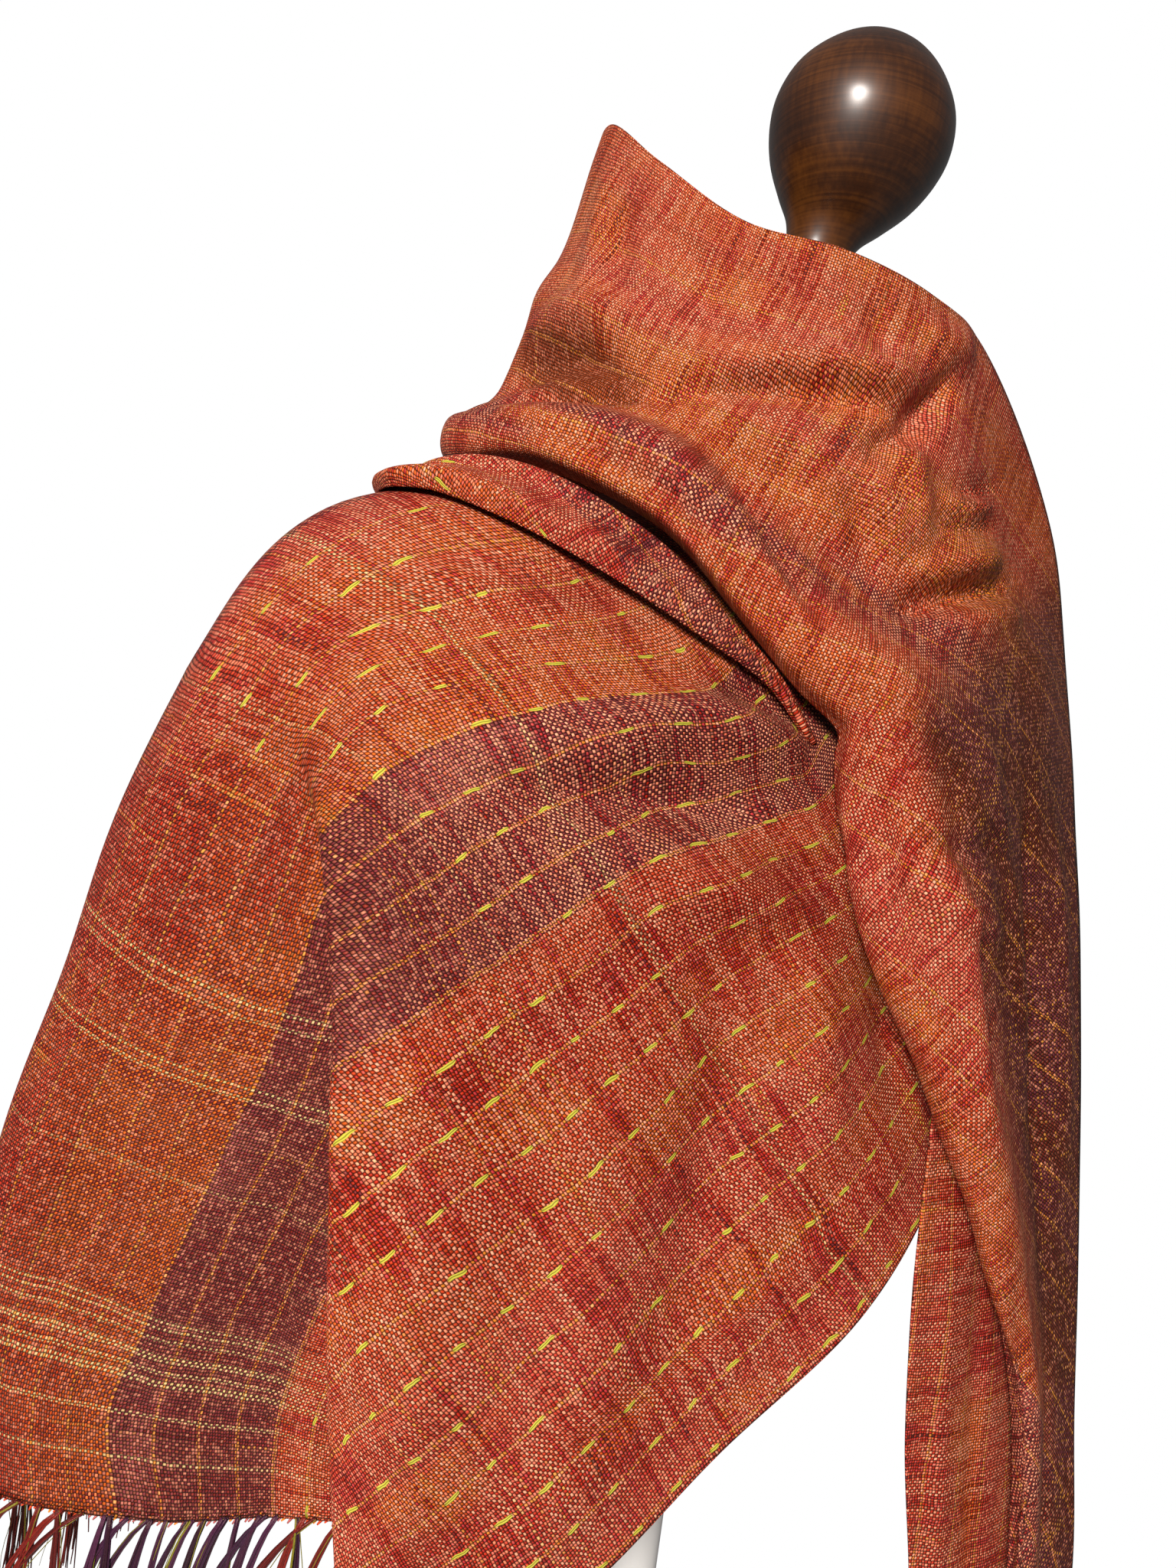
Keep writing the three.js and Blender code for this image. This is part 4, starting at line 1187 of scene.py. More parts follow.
        # Painted shade: End A's weft is mixed towards wine beside the pleat, where the front panel shades it.
        low = g.times(g.rise(x, 0.135, 0.16), g.rise(y, 0.27, 0.18))
        base = g.mix(g.times(low, 0.82), base, WOOL.wine)
        # Painted shadow on the collar above the roll, mixed in as darker weft.
        base = g.mix(self._painted_shadow_patch(g, x, y), base, WOOL.rust)
        # Painted shade: the weft on the cowl's right side, which faces away from the key, is mixed half towards
        # tan.
        turned = g.times(g.rise(x, 0.395, 0.43), g.rise(y, 1.735, 1.79))
        base = g.mix(g.times(turned, 0.5), base, WOOL.tan)
        pick = g.random(g.combine(5.0, weft))
        breaks = g.noise(g.combine(g.times(weft, 0.9), g.times(x, 26.0), 9.0), 1.0, 1.0)
        broken = g.times(g.rise(breaks, 0.46, 0.58), self.stray_share)
        base = g.mix(g.times(g.above(pick, 0.92), broken), base, WOOL.dark)
        base = g.mix(g.times(g.below(pick, 0.05), broken), base, WOOL.gold)
        return self._striped(g, base, x, y)

    def _striped(self, g: Graph, base: object, x: object, y: object) -> Socket:
        """The weft's colour with the cream and plum stripes near End A worked in.

        Args:
            g: The finish's nodes.
            base: The weft's own colour.
            x: The weft place.
            y: The warp place.

        Returns:
            The colour.
        """
        fade = g.line(g.rise(x, 0.10, 0.17), 0.78, 0.22)
        middle, half, share = WIDE_CREAM_STRIPE
        pale = g.times(g.band(y, middle, half), share)
        for middle, half, share in CREAM_STRIPES:
            pale = g.math("MAXIMUM", pale, g.times(g.band(y, middle, half), g.times(fade, share)))
        base = g.mix(pale, base, WOOL.cream)
        for middle, half in PLUM_STRIPES:
            stripe = g.times(g.band(y, middle, half), g.times(fade, self.plum_stripe_share))
            base = g.mix(stripe, base, WOOL.plum)
        return base

    def _painted_shadow_patch(self, g: Graph, x: object, y: object) -> Socket:
        """Where a painted shadow lies on the collar, above the roll's left end, and how strongly.

        Args:
            g: The finish's nodes.
            x: The weft place.
            y: The warp place.

        Returns:
            The share of painted shadow, from 0 to its full strength.
        """
        parts = [g.math("POWER", g.math("DIVIDE", g.math("SUBTRACT", value, middle), half), 4.0)
                 for value, middle, half in zip((x, y), self.shadow_patch_place, self.shadow_patch_half)]
        return g.times(g.rise(g.math("ADD", *parts), 1.6, 0.3), self.shadow_patch_share)

    @staticmethod
    def _aged(g: Graph, x: object, y: object) -> Socket:
        """Where the fall's outer side is dyed brown.

        Args:
            g: The finish's nodes.
            x: The weft place.
            y: The warp place.

        Returns:
            The share, from 0 to 1.
        """
        slanted = g.line(g.math("SUBTRACT", y, 1.834), 0.6, x)
        beyond = g.line(x, -0.5, y)
        return g.times(g.rise(slanted, 0.290, 0.325), g.times(g.rise(beyond, 1.565, 1.605), 0.94))


@dataclass(frozen=True)
class LooseYarn:
    """Soft plied yarn in the warp's colours; the UV map holds the weft place and the yarn's own number.

    Own numbers above 1 are the hem's wrapping yarn.
    """

    reds: tuple[tuple[float, Colour], ...] = (
        (0.0, (0.085, 0.005, 0.004)), (0.45, (0.15, 0.009, 0.005)), (0.80, (0.045, 0.003, 0.003)))
    violets: tuple[tuple[float, Colour], ...] = (
        (0.0, (0.026, 0.005, 0.022)), (0.5, (0.052, 0.010, 0.034)), (0.80, (0.018, 0.003, 0.009)))
    violet_start: float = 0.135
    violet_end: float = 0.215

    def material(self) -> bpy.types.Material:
        """Builds the finish.

        Returns:
            The material.
        """
        g = Graph("fringe_yarn")
        place, own = g.split(g.flat_place())[:2]
        inside = g.within(place, self.violet_start, self.violet_end)
        colour = g.mix(inside, g.ramp(own, self.reds), g.ramp(own, self.violets))
        colour = g.mix(g.above(own, 0.90), colour, WOOL.moss)
        colour = g.mix(g.above(own, 1.0), colour, g.mix(inside, WOOL.terracotta, WOOL.mauve))
        colour = g.mix(g.above(own, 1.5), colour, WOOL.amber)
        ply = g.noise(g.object_place(), 1500.0, 2.0)
        # Painted shade and random tone: the yarn darkens where the ply's relief is low.
        colour = g.scaled(colour, g.line(ply, 1.1, 0.5))
        g.bump(ply, 0.0003, 0.6)
        return g.finish(colour, 0.42, Sheen_Weight=0.05, Specular_IOR_Level=0.3,
                        Specular_Tint=(1.0, 0.7, 0.6))


@dataclass(frozen=True)
class LacqueredWood:
    """Dark stained hardwood under gloss lacquer."""

    stain_tones: tuple[tuple[float, Colour], ...] = (
        (0.36, (0.011, 0.0026, 0.0004)), (0.50, (0.031, 0.0082, 0.0010)), (0.64, (0.072, 0.0215, 0.0028)))
    grain_stretch: tuple[float, float, float] = (1.0, 1.0, 0.10)
    ring_stretch: tuple[float, float, float] = (0.15, 0.15, 12.0)

    def material(self) -> bpy.types.Material:
        """Builds the finish.

        Returns:
            The material.
        """
        g = Graph("lacquered_wood")
        place = g.object_place()
        along = g.add("ShaderNodeMapping", (place,))
        along.inputs["Scale"].default_value = self.grain_stretch
        grain = g.noise(along.outputs[0], 420.0, 4.0)
        turned = g.add("ShaderNodeMapping", (place,))
        turned.inputs["Scale"].default_value = self.ring_stretch
        rings = g.noise(turned.outputs[0], 75.0, 3.0)
        stain = g.noise(place, 26.0, 3.0)
        figure = g.line(rings, 0.30, g.line(grain, 0.22, g.times(stain, 0.48)))
        g.bump(rings, 0.00006, 0.3)
        return g.finish(g.ramp(figure, self.stain_tones), 0.46, Coat_Weight=0.55, Coat_Roughness=0.25,
                        Specular_IOR_Level=0.25)


@dataclass(frozen=True)
class CoverJersey:
    """Ecru knitted jersey drawn over the form."""

    light: Colour = (0.84, 0.81, 0.74)
    middle: Colour = (0.76, 0.72, 0.64)
    # The colour that the knit's grooves are darkened towards: painted shade.
    groove_shade: Colour = (0.55, 0.51, 0.44)
    courses_turn: float = 3000.0
    wales_turn: float = 320.0

    def material(self) -> bpy.types.Material:
        """Builds the finish.

        Returns:
            The material.
        """
        g = Graph("cover_jersey")
        place = g.object_place()
        x, y, z = g.split(place)
        courses = g.math("ABSOLUTE", g.math("SINE", g.times(z, self.courses_turn)))
        wales = g.math("ABSOLUTE", g.math("SINE", g.times(g.math("ARCTAN2", x, y), self.wales_turn)))
        knit = g.line(courses, 0.5, g.times(wales, 0.5))
        colour = g.mix(g.noise(place, 30.0, 3.0), self.middle, self.light)
        # Painted shade: the knit's grooves are mixed towards a darker ecru.
        colour = g.mix(g.times(g.math("SUBTRACT", 1.0, knit), 0.35), colour, self.groove_shade)
        g.bump(knit, 0.0003, 0.6)
        return g.finish(colour, 0.85, Sheen_Weight=0.2)


@dataclass(frozen=True)
class SatinPaint:
    """White satin paint on steel."""

    light: Colour = (0.88, 0.875, 0.86)
    shade: Colour = (0.82, 0.81, 0.79)

    def material(self) -> bpy.types.Material:
        """Builds the finish.

        Returns:
            The material.
        """
        g = Graph("white_paint")
        place = g.object_place()
        cloud = g.noise(place, 14.0, 3.0)
        g.bump(g.noise(place, 700.0, 2.0), 0.0002, 0.18)
        return g.finish(g.mix(cloud, self.shade, self.light), g.line(cloud, 0.14, 0.28), Coat_Weight=0.15)


@dataclass(frozen=True)
class StudioFloor:
    """Plain pale studio floor."""

    light: Colour = (0.89, 0.89, 0.89)
    shade: Colour = (0.86, 0.86, 0.86)

    def material(self) -> bpy.types.Material:
        """Builds the finish.

        Returns:
            The material.
        """
        g = Graph("studio_floor")
        return g.finish(g.mix(g.noise(g.object_place(), 1.2, 2.0), self.shade, self.light), 0.9)


# ---- pieces -------------------------------------------------------------------------------------------
def mesh_piece(name: str, points: np.ndarray, faces: list[tuple[int, ...]], places: np.ndarray,
               material: bpy.types.Material) -> bpy.types.Object:
    """Makes a smooth piece from points in millimetres.

    Args:
        name: The piece's name.
        points: One row each.
        faces: Corner numbers, seen anticlockwise from outside.
        places: The flat place of each point, in metres, for the UV map.
        material: Its finish.

    Returns:
        The piece.
    """
    mesh = bpy.data.meshes.new(name)
    mesh.from_pydata((points * MM).tolist(), [], faces)
    corner = np.zeros(len(mesh.loops), dtype=np.int32)
    mesh.loops.foreach_get("vertex_index", corner)
    mesh.uv_layers.new(name="cloth").data.foreach_set("uv", places[corner].astype(np.float32).ravel())
    mesh.polygons.foreach_set("use_smooth", np.ones(len(mesh.polygons), dtype=bool))
    mesh.materials.append(material)
    mesh.update()
    piece = bpy.data.objects.new(name, mesh)
    bpy.context.scene.collection.objects.link(piece)
    return piece


def shell(stretch: Stretch, material: bpy.types.Material) -> bpy.types.Object:
    """A stretch's thin closed shell, with its flat places as the UV map.

    Args:
        stretch: The stretch, already shaped.
        material: Its finish.

    Returns:
        The piece.
    """
    outer = stretch.outer
    rows, columns = outer.shape[:2]
    inner = outer + normals(outer) * stretch.thickness
    points = np.concatenate([outer.reshape(-1, 3), inner.reshape(-1, 3)])
    places = np.tile(stretch.flat.reshape(-1, 2) * MM, (2, 1))
    top = np.arange(rows * columns).reshape(rows, columns)
    low = top + rows * columns
    faces: list[np.ndarray] = []
    for index, turn in ((top, False), (low, True)):
        corners = (index[:-1, :-1], index[:-1, 1:], index[1:, 1:], index[1:, :-1])
        quads = np.stack(corners, axis=-1).reshape(-1, 4)
        faces.append(quads[:, ::-1] if turn else quads)
    rim = np.concatenate([top[:, 0], top[-1, 1:], top[-2::-1, -1], top[0, -2:0:-1]])
    under = rim + rows * columns
    ahead, under_ahead = np.roll(rim, -1), np.roll(under, -1)
    faces.append(np.stack([rim, ahead, under_ahead, under], axis=-1))
    return mesh_piece("cloth_" + stretch.name, points, np.concatenate(faces).tolist(), places, material)


@dataclass
class Fringe:
    """Loose ends along a cut edge: flat silky locks under a wrapped hem, with a few stray yarns.

    Sizes are millimetres. points, faces and marks gather the mesh as the yarns are added.
    """

    name: str
    edge: np.ndarray
    places: np.ndarray
    locks: int
    yarns: int = 7
    length: float = 91.0
    lean: float = 0.24
    sides: int = 5
    steps: int = 14
    yarn_radius: float = 0.43
    stray_radius: float = 0.16
    stitch_radius: float = 0.52
    stitch_spacing: float = 2.3
    points: list = field(default_factory=list)
    faces: list = field(default_factory=list)
    marks: list = field(default_factory=list)

    def _at(self, share: float) -> tuple[np.ndarray, np.ndarray, np.ndarray, float]:
        """A place on the edge.

        Args:
            share: Its share of the edge's length, from 0 to 1.

        Returns:
            The point, the way along the edge, the way through the cloth, and the weft place.
        """
        shares = shares_of(self.edge)
        behind = min(share, 0.985)
        here, ahead, root = (np.array([np.interp(s, shares, self.edge[:, axis]) for axis in range(3)])
                             for s in (behind, behind + 0.015, share))
        run = (ahead - here) / max(np.linalg.norm(ahead - here), 1e-6)
        face = np.cross(run, UP)
        face = face / max(np.linalg.norm(face), 1e-6)
        return root + face * 0.4, run, face, float(np.interp(share, shares, self.places))

    def _tube(self, line: np.ndarray, thick: np.ndarray, run: np.ndarray, place: float, own: float) -> None:
        """Adds one closed round yarn.

        Args:
            line: The points along its middle.
            thick: Its radius at each point.
            run: The way along the edge, which its sides start from.
            place: The weft place that it comes from.
            own: Its own number, which its colour is chosen by.
        """
        base = len(self.points)
        for k, (centre, radius) in enumerate(zip(line, thick)):
            way = line[min(k + 1, len(line) - 1)] - line[max(k - 1, 0)]
            side = run - way * (run @ way) / max(way @ way, 1e-9)
            side = side / max(np.linalg.norm(side), 1e-6)
            other = np.cross(way, side)
            other = other / max(np.linalg.norm(other), 1e-6)
            for m in range(self.sides):
                turn = 2 * math.pi * m / self.sides
                out = side * (radius * math.cos(turn)) + other * (radius * math.sin(turn))
                self.points.append(centre + out)
                self.marks.append((place * MM, own))
        rings = len(line)
        for k in range(rings - 1):
            for m in range(self.sides):
                a, b = base + k * self.sides + m, base + k * self.sides + (m + 1) % self.sides
                self.faces.append((a, b, b + self.sides, a + self.sides))
        self.faces.append(tuple(base + m for m in reversed(range(self.sides))))
        self.faces.append(tuple(base + (rings - 1) * self.sides + m for m in range(self.sides)))

    def build(self, material: bpy.types.Material) -> bpy.types.Object:
        """Makes the fringe.

        Args:
            material: The yarn's finish.

        Returns:
            The piece.
        """
        for k in range(self.locks):
            self._lock(k)
        self._hem()
        points, marks = np.array(self.points), np.array(self.marks)
        return mesh_piece("yarn_" + self.name, points, self.faces, marks, material)

    def _lock(self, k: int) -> None:
        """Adds one lock of yarns that lie side by side, and at times a stray one.

        Args:
            k: The lock's number along the edge.
        """
        share = (k + 0.5 + 0.42 * math.sin(2.05 * k) + 0.1 * math.sin(7.3 * k)) / self.locks
        root, run, face, place = self._at(share)
        lean = self.lean * (0.75 + 0.6 * math.sin(1.7 * k + 0.6)) + 0.10 * math.sin(4.9 * k)
        split = 2.6 if math.sin(3.3 * k) > 0.35 else 0.5
        length = self.length * (0.86 + 0.07 * math.sin(5.3 * k))
        part = np.linspace(0, 1, self.steps + 1)[:, None]
        for m in range(self.yarns + (1 if k % 3 else 0)):
            stray = m >= self.yarns
            seed = k * 5.7 + m * 2.3
            seat = (m - (self.yarns - 1) / 2) / self.yarns
            belly = 1.2 * np.sin(np.pi * np.clip(part * 1.25, 0, 1)) ** 0.8
            width = 1.2 + belly + split * part ** 1.4 / max(abs(seat), 0.2)
            curl = (5.0 if stray else 1.6) * np.sin(0.6 * seed + (7 if stray else 4) * part) * part
            along = seat * width - lean * length * (1.9 * part ** 0.8 - 0.9 * part ** 1.8) + curl
            depth = 0.5 * math.sin(seed) * (0.4 + part) + 0.35 * (m % 2)
            fall = length * (0.93 + 0.07 * math.sin(seed * 1.9))
            line = root + run * along + face * depth + UP * (0.8 - fall * part * (1 - 0.05 * abs(lean)))
            radius = (self.stray_radius if stray else self.yarn_radius) * (1 - 0.45 * part[:, 0] ** 4)
            own = 0.95 if stray or (m == 1 and k % 4 == 1) else 0.8 * (math.sin(seed * 4.1) * 0.5 + 0.5)
            self._tube(line, radius, run, place, own)

    def _hem(self) -> None:
        """Adds the slanting stitches that wrap the cut edge."""
        length = float(np.linalg.norm(np.diff(self.edge, axis=0), axis=1).sum())
        count = max(int(length / self.stitch_spacing), 4)
        for k in range(count):
            root, run, face, place = self._at((k + 0.5) / count)
            slant = 1.1 + 0.5 * math.sin(2.1 * k)
            high = 1.5 + 0.5 * math.sin(3.7 * k)
            part = np.linspace(-1, 1, 6)[:, None]
            bow = 0.9 * (1 - part ** 2)
            line = root + run * (slant * part) + UP * (0.5 + high * part) - face * (0.35 + bow)
            thick = self.stitch_radius * (1 - 0.5 * np.abs(part[:, 0]) ** 3)
            self._tube(line, thick, run, place, 1.8 if k % 5 == 2 else 1.2)


@dataclass(frozen=True)
class Ring:
    """One level of a turned or padded solid, in millimetres."""

    level: float
    half_width: float
    half_depth: float
    shift: float = 0.0
    lean: float = 0.0


# The neck leans towards this angle, about a level hinge across it.
LEAN_ANGLE = -35.0
LEAN_WAY = Vector((-math.sin(math.radians(LEAN_ANGLE)), -math.cos(math.radians(LEAN_ANGLE)), 0.0))
LEAN_HINGE = Vector((0.0, 0.0, 1.0)).cross(LEAN_WAY)


def stacked(name: str, rings: Sequence[Ring], sides: int) -> bpy.types.Object:
    """Draws a closed solid up through rings, from a circle extruded and resized level by level.

    Args:
        name: The piece's name.
        rings: The levels, from the lowest.
        sides: How many sides the circle has.

    Returns:
        The piece, smooth, at the origin.
    """
    bpy.ops.object.select_all(action="DESELECT")
    places = [Vector((0, 0, ring.level)) + LEAN_WAY * ring.shift for ring in rings]
    places = [place * MM for place in places]
    bpy.ops.mesh.primitive_circle_add(vertices=sides, radius=MM, fill_type="NOTHING", location=places[0])
    piece = bpy.context.active_object
    piece.name = piece.data.name = name
    bpy.ops.object.transform_apply(location=True, rotation=True, scale=True)
    bpy.ops.object.mode_set(mode="EDIT")
    bpy.ops.mesh.select_all(action="SELECT")
    bpy.ops.transform.resize(value=(rings[0].half_width, rings[0].half_depth, 1), center_override=places[0])
    for ring, before, place, place_before in zip(rings[1:], rings, places[1:], places):
        bpy.ops.mesh.extrude_region_move(TRANSFORM_OT_translate={"value": place - place_before})
        grown = (ring.half_width / before.half_width, ring.half_depth / before.half_depth, 1)
        bpy.ops.transform.resize(value=grown, center_override=place)
    bpy.ops.mesh.select_all(action="SELECT")
    bpy.ops.mesh.fill_holes(sides=0)
    bpy.ops.mesh.select_all(action="SELECT")
    bpy.ops.mesh.normals_make_consistent(inside=False)
    bpy.ops.object.mode_set(mode="OBJECT")
    lean_rings(piece, rings)
    bpy.ops.object.select_all(action="DESELECT")
    piece.select_set(True)
    bpy.context.view_layer.objects.active = piece
    bpy.ops.object.shade_smooth_by_angle(angle=math.radians(50))
    return piece


def lean_rings(piece: bpy.types.Object, rings: Sequence[Ring]) -> None:
    """Tips each level about its own middle, as far as its ring leans.

    Args:
        piece: The solid drawn up through the rings.
        rings: Its levels, from the lowest.
    """
    levels = [ring.level * MM for ring in rings]
    for vertex in piece.data.vertices:
        lean = float(np.interp(vertex.co.z, levels, [ring.lean for ring in rings]))
        if lean > 0:
            shift = float(np.interp(vertex.co.z, levels, [ring.shift for ring in rings]))
            middle = Vector((0, 0, vertex.co.z)) + LEAN_WAY * shift * MM
            vertex.co = middle + Matrix.Rotation(math.radians(lean), 3, LEAN_HINGE) @ (vertex.co - middle)
    piece.data.update()


@dataclass
class DressForm:
    """The padded shoulder form on its pole and round foot, with a turned finial on the neck.

    Sizes are millimetres. body_rings holds level, half width, half depth, shift and lean in degrees, and
    finial_profile holds radius and height.
    """

    foot_radius: float = 165.0
    foot_height: float = 22.0
    pole_radius: float = 11.0
    bottom: float = 1140.0
    neck_top: float = 1478.0
    neck_lean: float = 13.0
    neck_shift: float = -8.8
    cap_height: float = 10.0
    seam: float = 0.3
    body_rings: tuple[tuple[float, float, float, float, float], ...] = (
        (1140, 118, 78, 0, 0), (1143, 132, 89, 0, 0), (1152, 143, 97, 0, 0), (1180, 150, 101, 0, 0),
        (1230, 162, 98, 0, 0), (1280, 180, 83, 0, 0), (1310, 187, 70, 0, 0), (1328, 189, 61, 0, 0),
        (1342, 181, 54, 0, 0), (1353, 164, 50, 0, 0), (1370.5, 118, 50, 0, 0), (1384.5, 82, 52, 0, 0),
        (1400, 63, 54, -0.5, 2), (1430, 56, 54, -3, 6), (1478, 54, 54, -8.8, 13))
    finial_profile: tuple[tuple[float, float], ...] = (
        (22, 0), (21, 5), (15.5, 9), (14.3, 18), (14.3, 30), (17.5, 39.5), (25, 49.5), (33.5, 62), (38.6, 75),
        (40, 86), (37.2, 99), (29.5, 110.5), (20, 118.8), (9.5, 123.4), (1.5, 124.8))

    def _set_on_neck(self, piece: bpy.types.Object) -> None:
        """Stands an upright piece on the leaning neck.

        Args:
            piece: The piece, drawn upright at the origin.
        """
        tip = Matrix.Rotation(math.radians(self.neck_lean), 3, LEAN_HINGE)
        piece.rotation_mode = "QUATERNION"
        piece.rotation_quaternion = tip.to_quaternion()
        piece.location = (Vector((0, 0, self.neck_top)) + LEAN_WAY * self.neck_shift) * MM
        bpy.ops.object.select_all(action="DESELECT")
        piece.select_set(True)
        bpy.context.view_layer.objects.active = piece
        bpy.ops.object.transform_apply(location=True, rotation=True, scale=True)
        piece.rotation_mode = "XYZ"

    def finial(self) -> bpy.types.Object:
        """The turned wood finial.

        Returns:
            The piece.
        """
        profile = np.array([(radius, 0.0, height) for radius, height in self.finial_profile])
        fine = smooth(profile, 90)
        base = self.cap_height + self.seam
        rings = [Ring(base + height, max(radius, 0.4), max(radius, 0.4)) for radius, _, height in fine]
        piece = stacked("turned_finial", rings, 96)
        self._set_on_neck(piece)
        return piece

    def cap(self) -> bpy.types.Object:
        """The wood disc that closes the neck, with rounded edges.

        Returns:
            The piece.
        """
        low, top = self.seam, self.cap_height
        rings = [Ring(low, 51.5, 51.5), Ring(low + 0.6, 53, 53), Ring(low + 2, 54, 54), Ring(top - 3, 54, 54),
                 Ring(top - 1.4, 53, 53), Ring(top - 0.4, 50.5, 50.5), Ring(top, 47, 47)]
        piece = stacked("turned_neck_cap", rings, 96)
        self._set_on_neck(piece)
        return piece

    def body(self) -> bpy.types.Object:
        """The padded body in its jersey cover.

        Returns:
            The piece.
        """
        table = np.array([(width, depth, level) for level, width, depth, _, _ in self.body_rings])
        extra = np.array([(shift, lean, 0.0) for _, _, _, shift, lean in self.body_rings])
        fine = smooth(table, 70)
        place = np.linspace(0, len(table) - 1, 71)
        shifts = [np.interp(place, np.arange(len(table)), extra[:, k]) for k in range(2)]
        rings = [Ring(level, width - 0.25, depth - 0.25, shift, lean)
                 for (width, depth, level), shift, lean in zip(fine, *shifts)]
        return stacked("padded_body", rings, 120)

    def foot(self) -> bpy.types.Object:
        """The round foot with its rounded edge.

        Returns:
            The piece.
        """
        r, h = self.foot_radius, self.foot_height
        rings = [Ring(0, r - 1.5, r - 1.5), Ring(1.5, r, r), Ring(h - 8, r, r), Ring(h - 5, r - 1.8, r - 1.8),
                 Ring(h - 2.5, r - 5, r - 5), Ring(h - 0.6, r - 10, r - 10), Ring(h, r - 15, r - 15)]
        return stacked("round_foot", rings, 128)

    def pole(self) -> bpy.types.Object:
        """The pole, with a collar at the foot.

        Returns:
            The piece.
        """
        r = self.pole_radius
        low, top = self.foot_height + self.seam, self.bottom - self.seam
        rings = [Ring(low, r + 5, r + 5), Ring(low + 6, r + 5, r + 5), Ring(low + 8, r + 3.5, r + 3.5),
                 Ring(low + 8.5, r, r), Ring(top, r, r)]
        return stacked("upright_pole", rings, 48)

    def build(self) -> list[bpy.types.Object]:
        """Makes and dresses all five pieces.

        Returns:
            The pieces.
        """
        wood, cover, paint = LacqueredWood().material(), CoverJersey().material(), SatinPaint().material()
        made = []
        for piece, node, slot, finish in (
                (self.finial(), "finial", "dark_wood", wood),
                (self.cap(), "neck_cap", "dark_wood", wood),
                (self.body(), "form_body", "form_cover", cover),
                (self.pole(), "stand_pole", "white_metal", paint),
                (self.foot(), "stand_base", "white_metal", paint)):
            piece.data.materials.clear()
            piece.data.materials.append(finish)
            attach(piece, "root")
            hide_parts(node)
            LOG.info("%s: %d faces", piece.name, len(piece.data.polygons))
            made.append(piece)
        return made


@dataclass
class Scarf:
    """The whole scarf: its stretches of cloth and its fringes."""

    fringe_locks: dict[str, int] = field(default_factory=lambda: {"a": 88, "b_outer": 19, "b_inner": 17})
    owners: dict[str, str] = field(default_factory=lambda: {
        "end_a_and_front": "a", "cowl_and_fall": "b_outer", "end_b": "b_inner"})
    cut_end_share: float = 10 / 17

    def build(self) -> None:
        """Makes and dresses the cloth and the fringes."""
        stretches = scarf_stretches()
        weave = WovenCloth().material()
        yarn = LooseYarn().material()
        pieces: dict[str, bpy.types.Object] = {}
        for name, stretch in stretches.items():
            stretch.shape()
            pieces[name] = self._dressed(shell(stretch, weave), "scarf_" + name, "scarf_cloth")
        fringes: dict[str, bpy.types.Object] = {}
        for name, key in self.owners.items():
            fringe = self._fringe(key, stretches[name]).build(yarn)
            fringes[name] = self._dressed(fringe, "fringe_" + key, "scarf_fringe")
        for name, stretch in stretches.items():
            self._declare(stretch, pieces[name], [fringes[name]] if name in fringes else [])

    @staticmethod
    def _dressed(piece: bpy.types.Object, node: str, slot: str) -> bpy.types.Object:
        """Gives a piece its body and hides the solid that it replaces.

        Args:
            piece: The piece.
            node: The solid that it replaces.
            slot: The finish's name. Not used.

        Returns:
            The same piece.
        """
        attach(piece, "root")
        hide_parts(node)
        LOG.info("%s: %d faces", piece.name, len(piece.data.polygons))
        return piece

    def _fringe(self, key: str, stretch: Stretch) -> Fringe:
        """The fringe on a stretch's cut end.

        Args:
            key: Which fringe it is.
            stretch: The stretch, already shaped.

        Returns:
            The fringe.
        """
        if key == "a":
            corner = round(self.cut_end_share * stretch.along)
            edge, places = stretch.outer[:corner + 1, -1], stretch.flat[:corner + 1, -1, 0]
        else:
            edge, places = stretch.outer[-1], stretch.flat[-1, :, 0]
        return Fringe("fringe_" + key, edge, places, self.fringe_locks[key])

    @staticmethod
    def _declare(stretch: Stretch, piece: bpy.types.Object, fringes: list[bpy.types.Object]) -> None:
        """Does nothing: the flat size that the stretch was cut to is not stated.

        Args:
            stretch: The stretch, already shaped. Not used.
            piece: Its piece. Not used.
            fringes: The fringes that hang from it. Not used.
        """


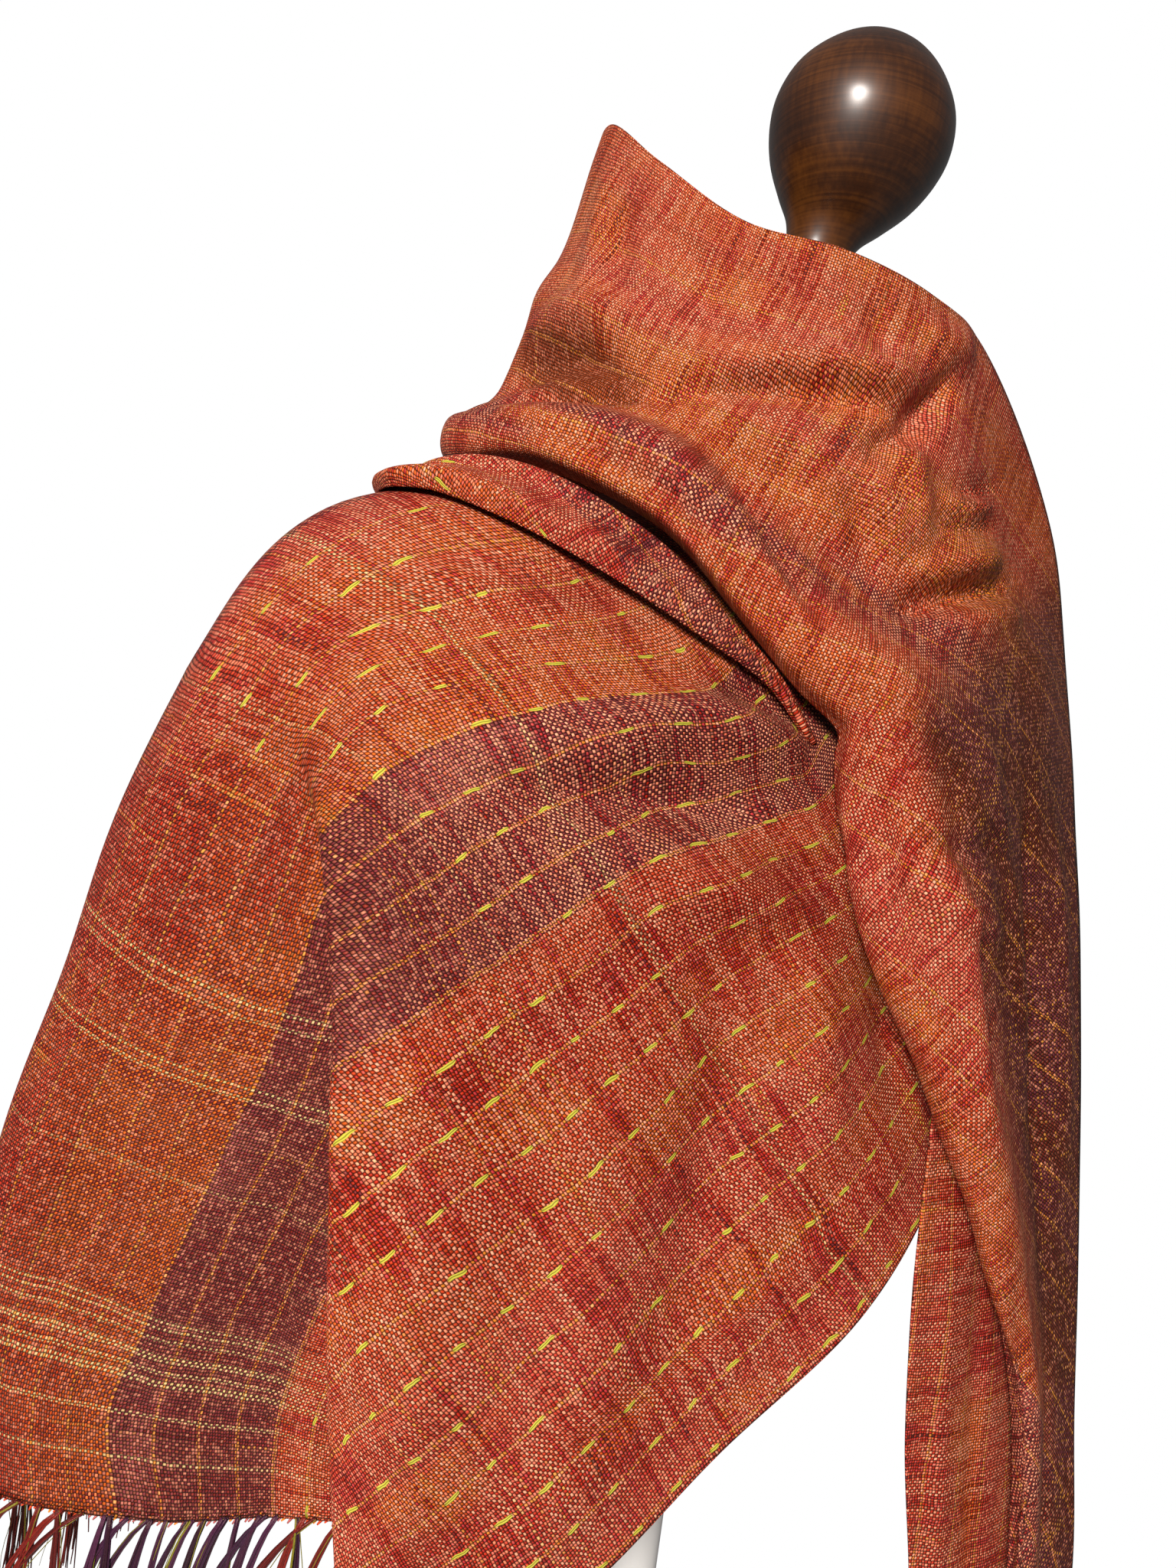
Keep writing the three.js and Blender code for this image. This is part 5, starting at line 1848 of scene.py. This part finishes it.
@dataclass
class Studio:
    """The camera, the floor and the light. Sizes are metres and angles degrees."""

    place: tuple[float, float, float] = (-0.3596, -0.3815, 1.272)
    heading: float = -36.0
    roll: float = 8.0
    lens: float = 27.07
    floor_radius: float = 1.15
    surround: float = 0.17
    key_place: tuple[float, float, float] = (-1.72, -1.30, 1.96)
    key_aim: tuple[float, float, float] = (-0.05, -0.05, 1.25)
    key_size: float = 0.60
    key_power: float = 98.0
    key_colour: Colour = (1.0, 0.945, 0.89)

    def camera(self) -> None:
        """Sets the camera at the viewing angle."""
        a, r = math.radians(self.heading), math.radians(self.roll)
        ahead = Vector((-math.sin(a), math.cos(a), 0))
        side = Vector((math.cos(a), math.sin(a), 0))
        up = Vector((0, 0, 1))
        right = side * math.cos(r) + up * math.sin(r)
        above = up * math.cos(r) - side * math.sin(r)
        data = bpy.data.cameras.new("camera")
        data.lens, data.sensor_width, data.clip_start, data.clip_end = self.lens, 36.0, 0.02, 100.0
        camera = bpy.data.objects.new("camera", data)
        turn = Matrix((right, above, -ahead)).transposed().to_4x4()
        camera.matrix_world = Matrix.Translation(self.place) @ turn
        bpy.context.scene.collection.objects.link(camera)
        bpy.context.scene.camera = camera

    def floor(self) -> None:
        """Lays the pale round floor."""
        bpy.ops.object.select_all(action="DESELECT")
        bpy.ops.mesh.primitive_circle_add(vertices=128, radius=self.floor_radius, fill_type="NGON",
                                          location=(0, 0, 0))
        floor = bpy.context.active_object
        floor.name = "studio_floor"
        floor.data.materials.append(StudioFloor().material())

    def key(self) -> None:
        """Hangs a soft round key at the front right, high up."""
        data = bpy.data.lights.new("key", "AREA")
        data.shape, data.size, data.energy = "DISK", self.key_size, self.key_power
        data.color = self.key_colour
        lamp = bpy.data.objects.new("key", data)
        lamp.location = self.key_place
        lamp.rotation_mode = "QUATERNION"
        lamp.rotation_quaternion = (Vector(self.key_aim) - Vector(self.key_place)).to_track_quat("-Z", "Y")
        bpy.context.scene.collection.objects.link(lamp)

    def walls(self) -> None:
        """Sets an even pale surround, dim on the cloth and white behind it."""
        world = bpy.data.worlds.new("surround")
        world.use_nodes = True
        tree = world.node_tree
        background = tree.nodes["Background"]
        background.inputs["Color"].default_value = (1.0, 1.0, 1.0, 1.0)
        seen = tree.nodes.new("ShaderNodeLightPath")
        level = tree.nodes.new("ShaderNodeMath")
        level.operation = "MULTIPLY_ADD"
        level.inputs[1].default_value = 1.0 - self.surround
        level.inputs[2].default_value = self.surround
        tree.links.new(seen.outputs["Is Camera Ray"], level.inputs[0])
        tree.links.new(level.outputs[0], background.inputs["Strength"])
        bpy.context.scene.world = world
        bpy.context.scene.view_settings.view_transform = "Standard"

    def build(self) -> None:
        """Sets up the camera, floor and light."""
        self.camera()
        self.floor()
        self.key()
        self.walls()


def main() -> None:
    """Builds the studio, the form and the scarf in order."""
    logging.basicConfig(level=logging.INFO, format="%(name)s: %(message)s")
    Studio().build()
    DressForm().build()
    Scarf().build()


if __name__ == "__main__":
    main()
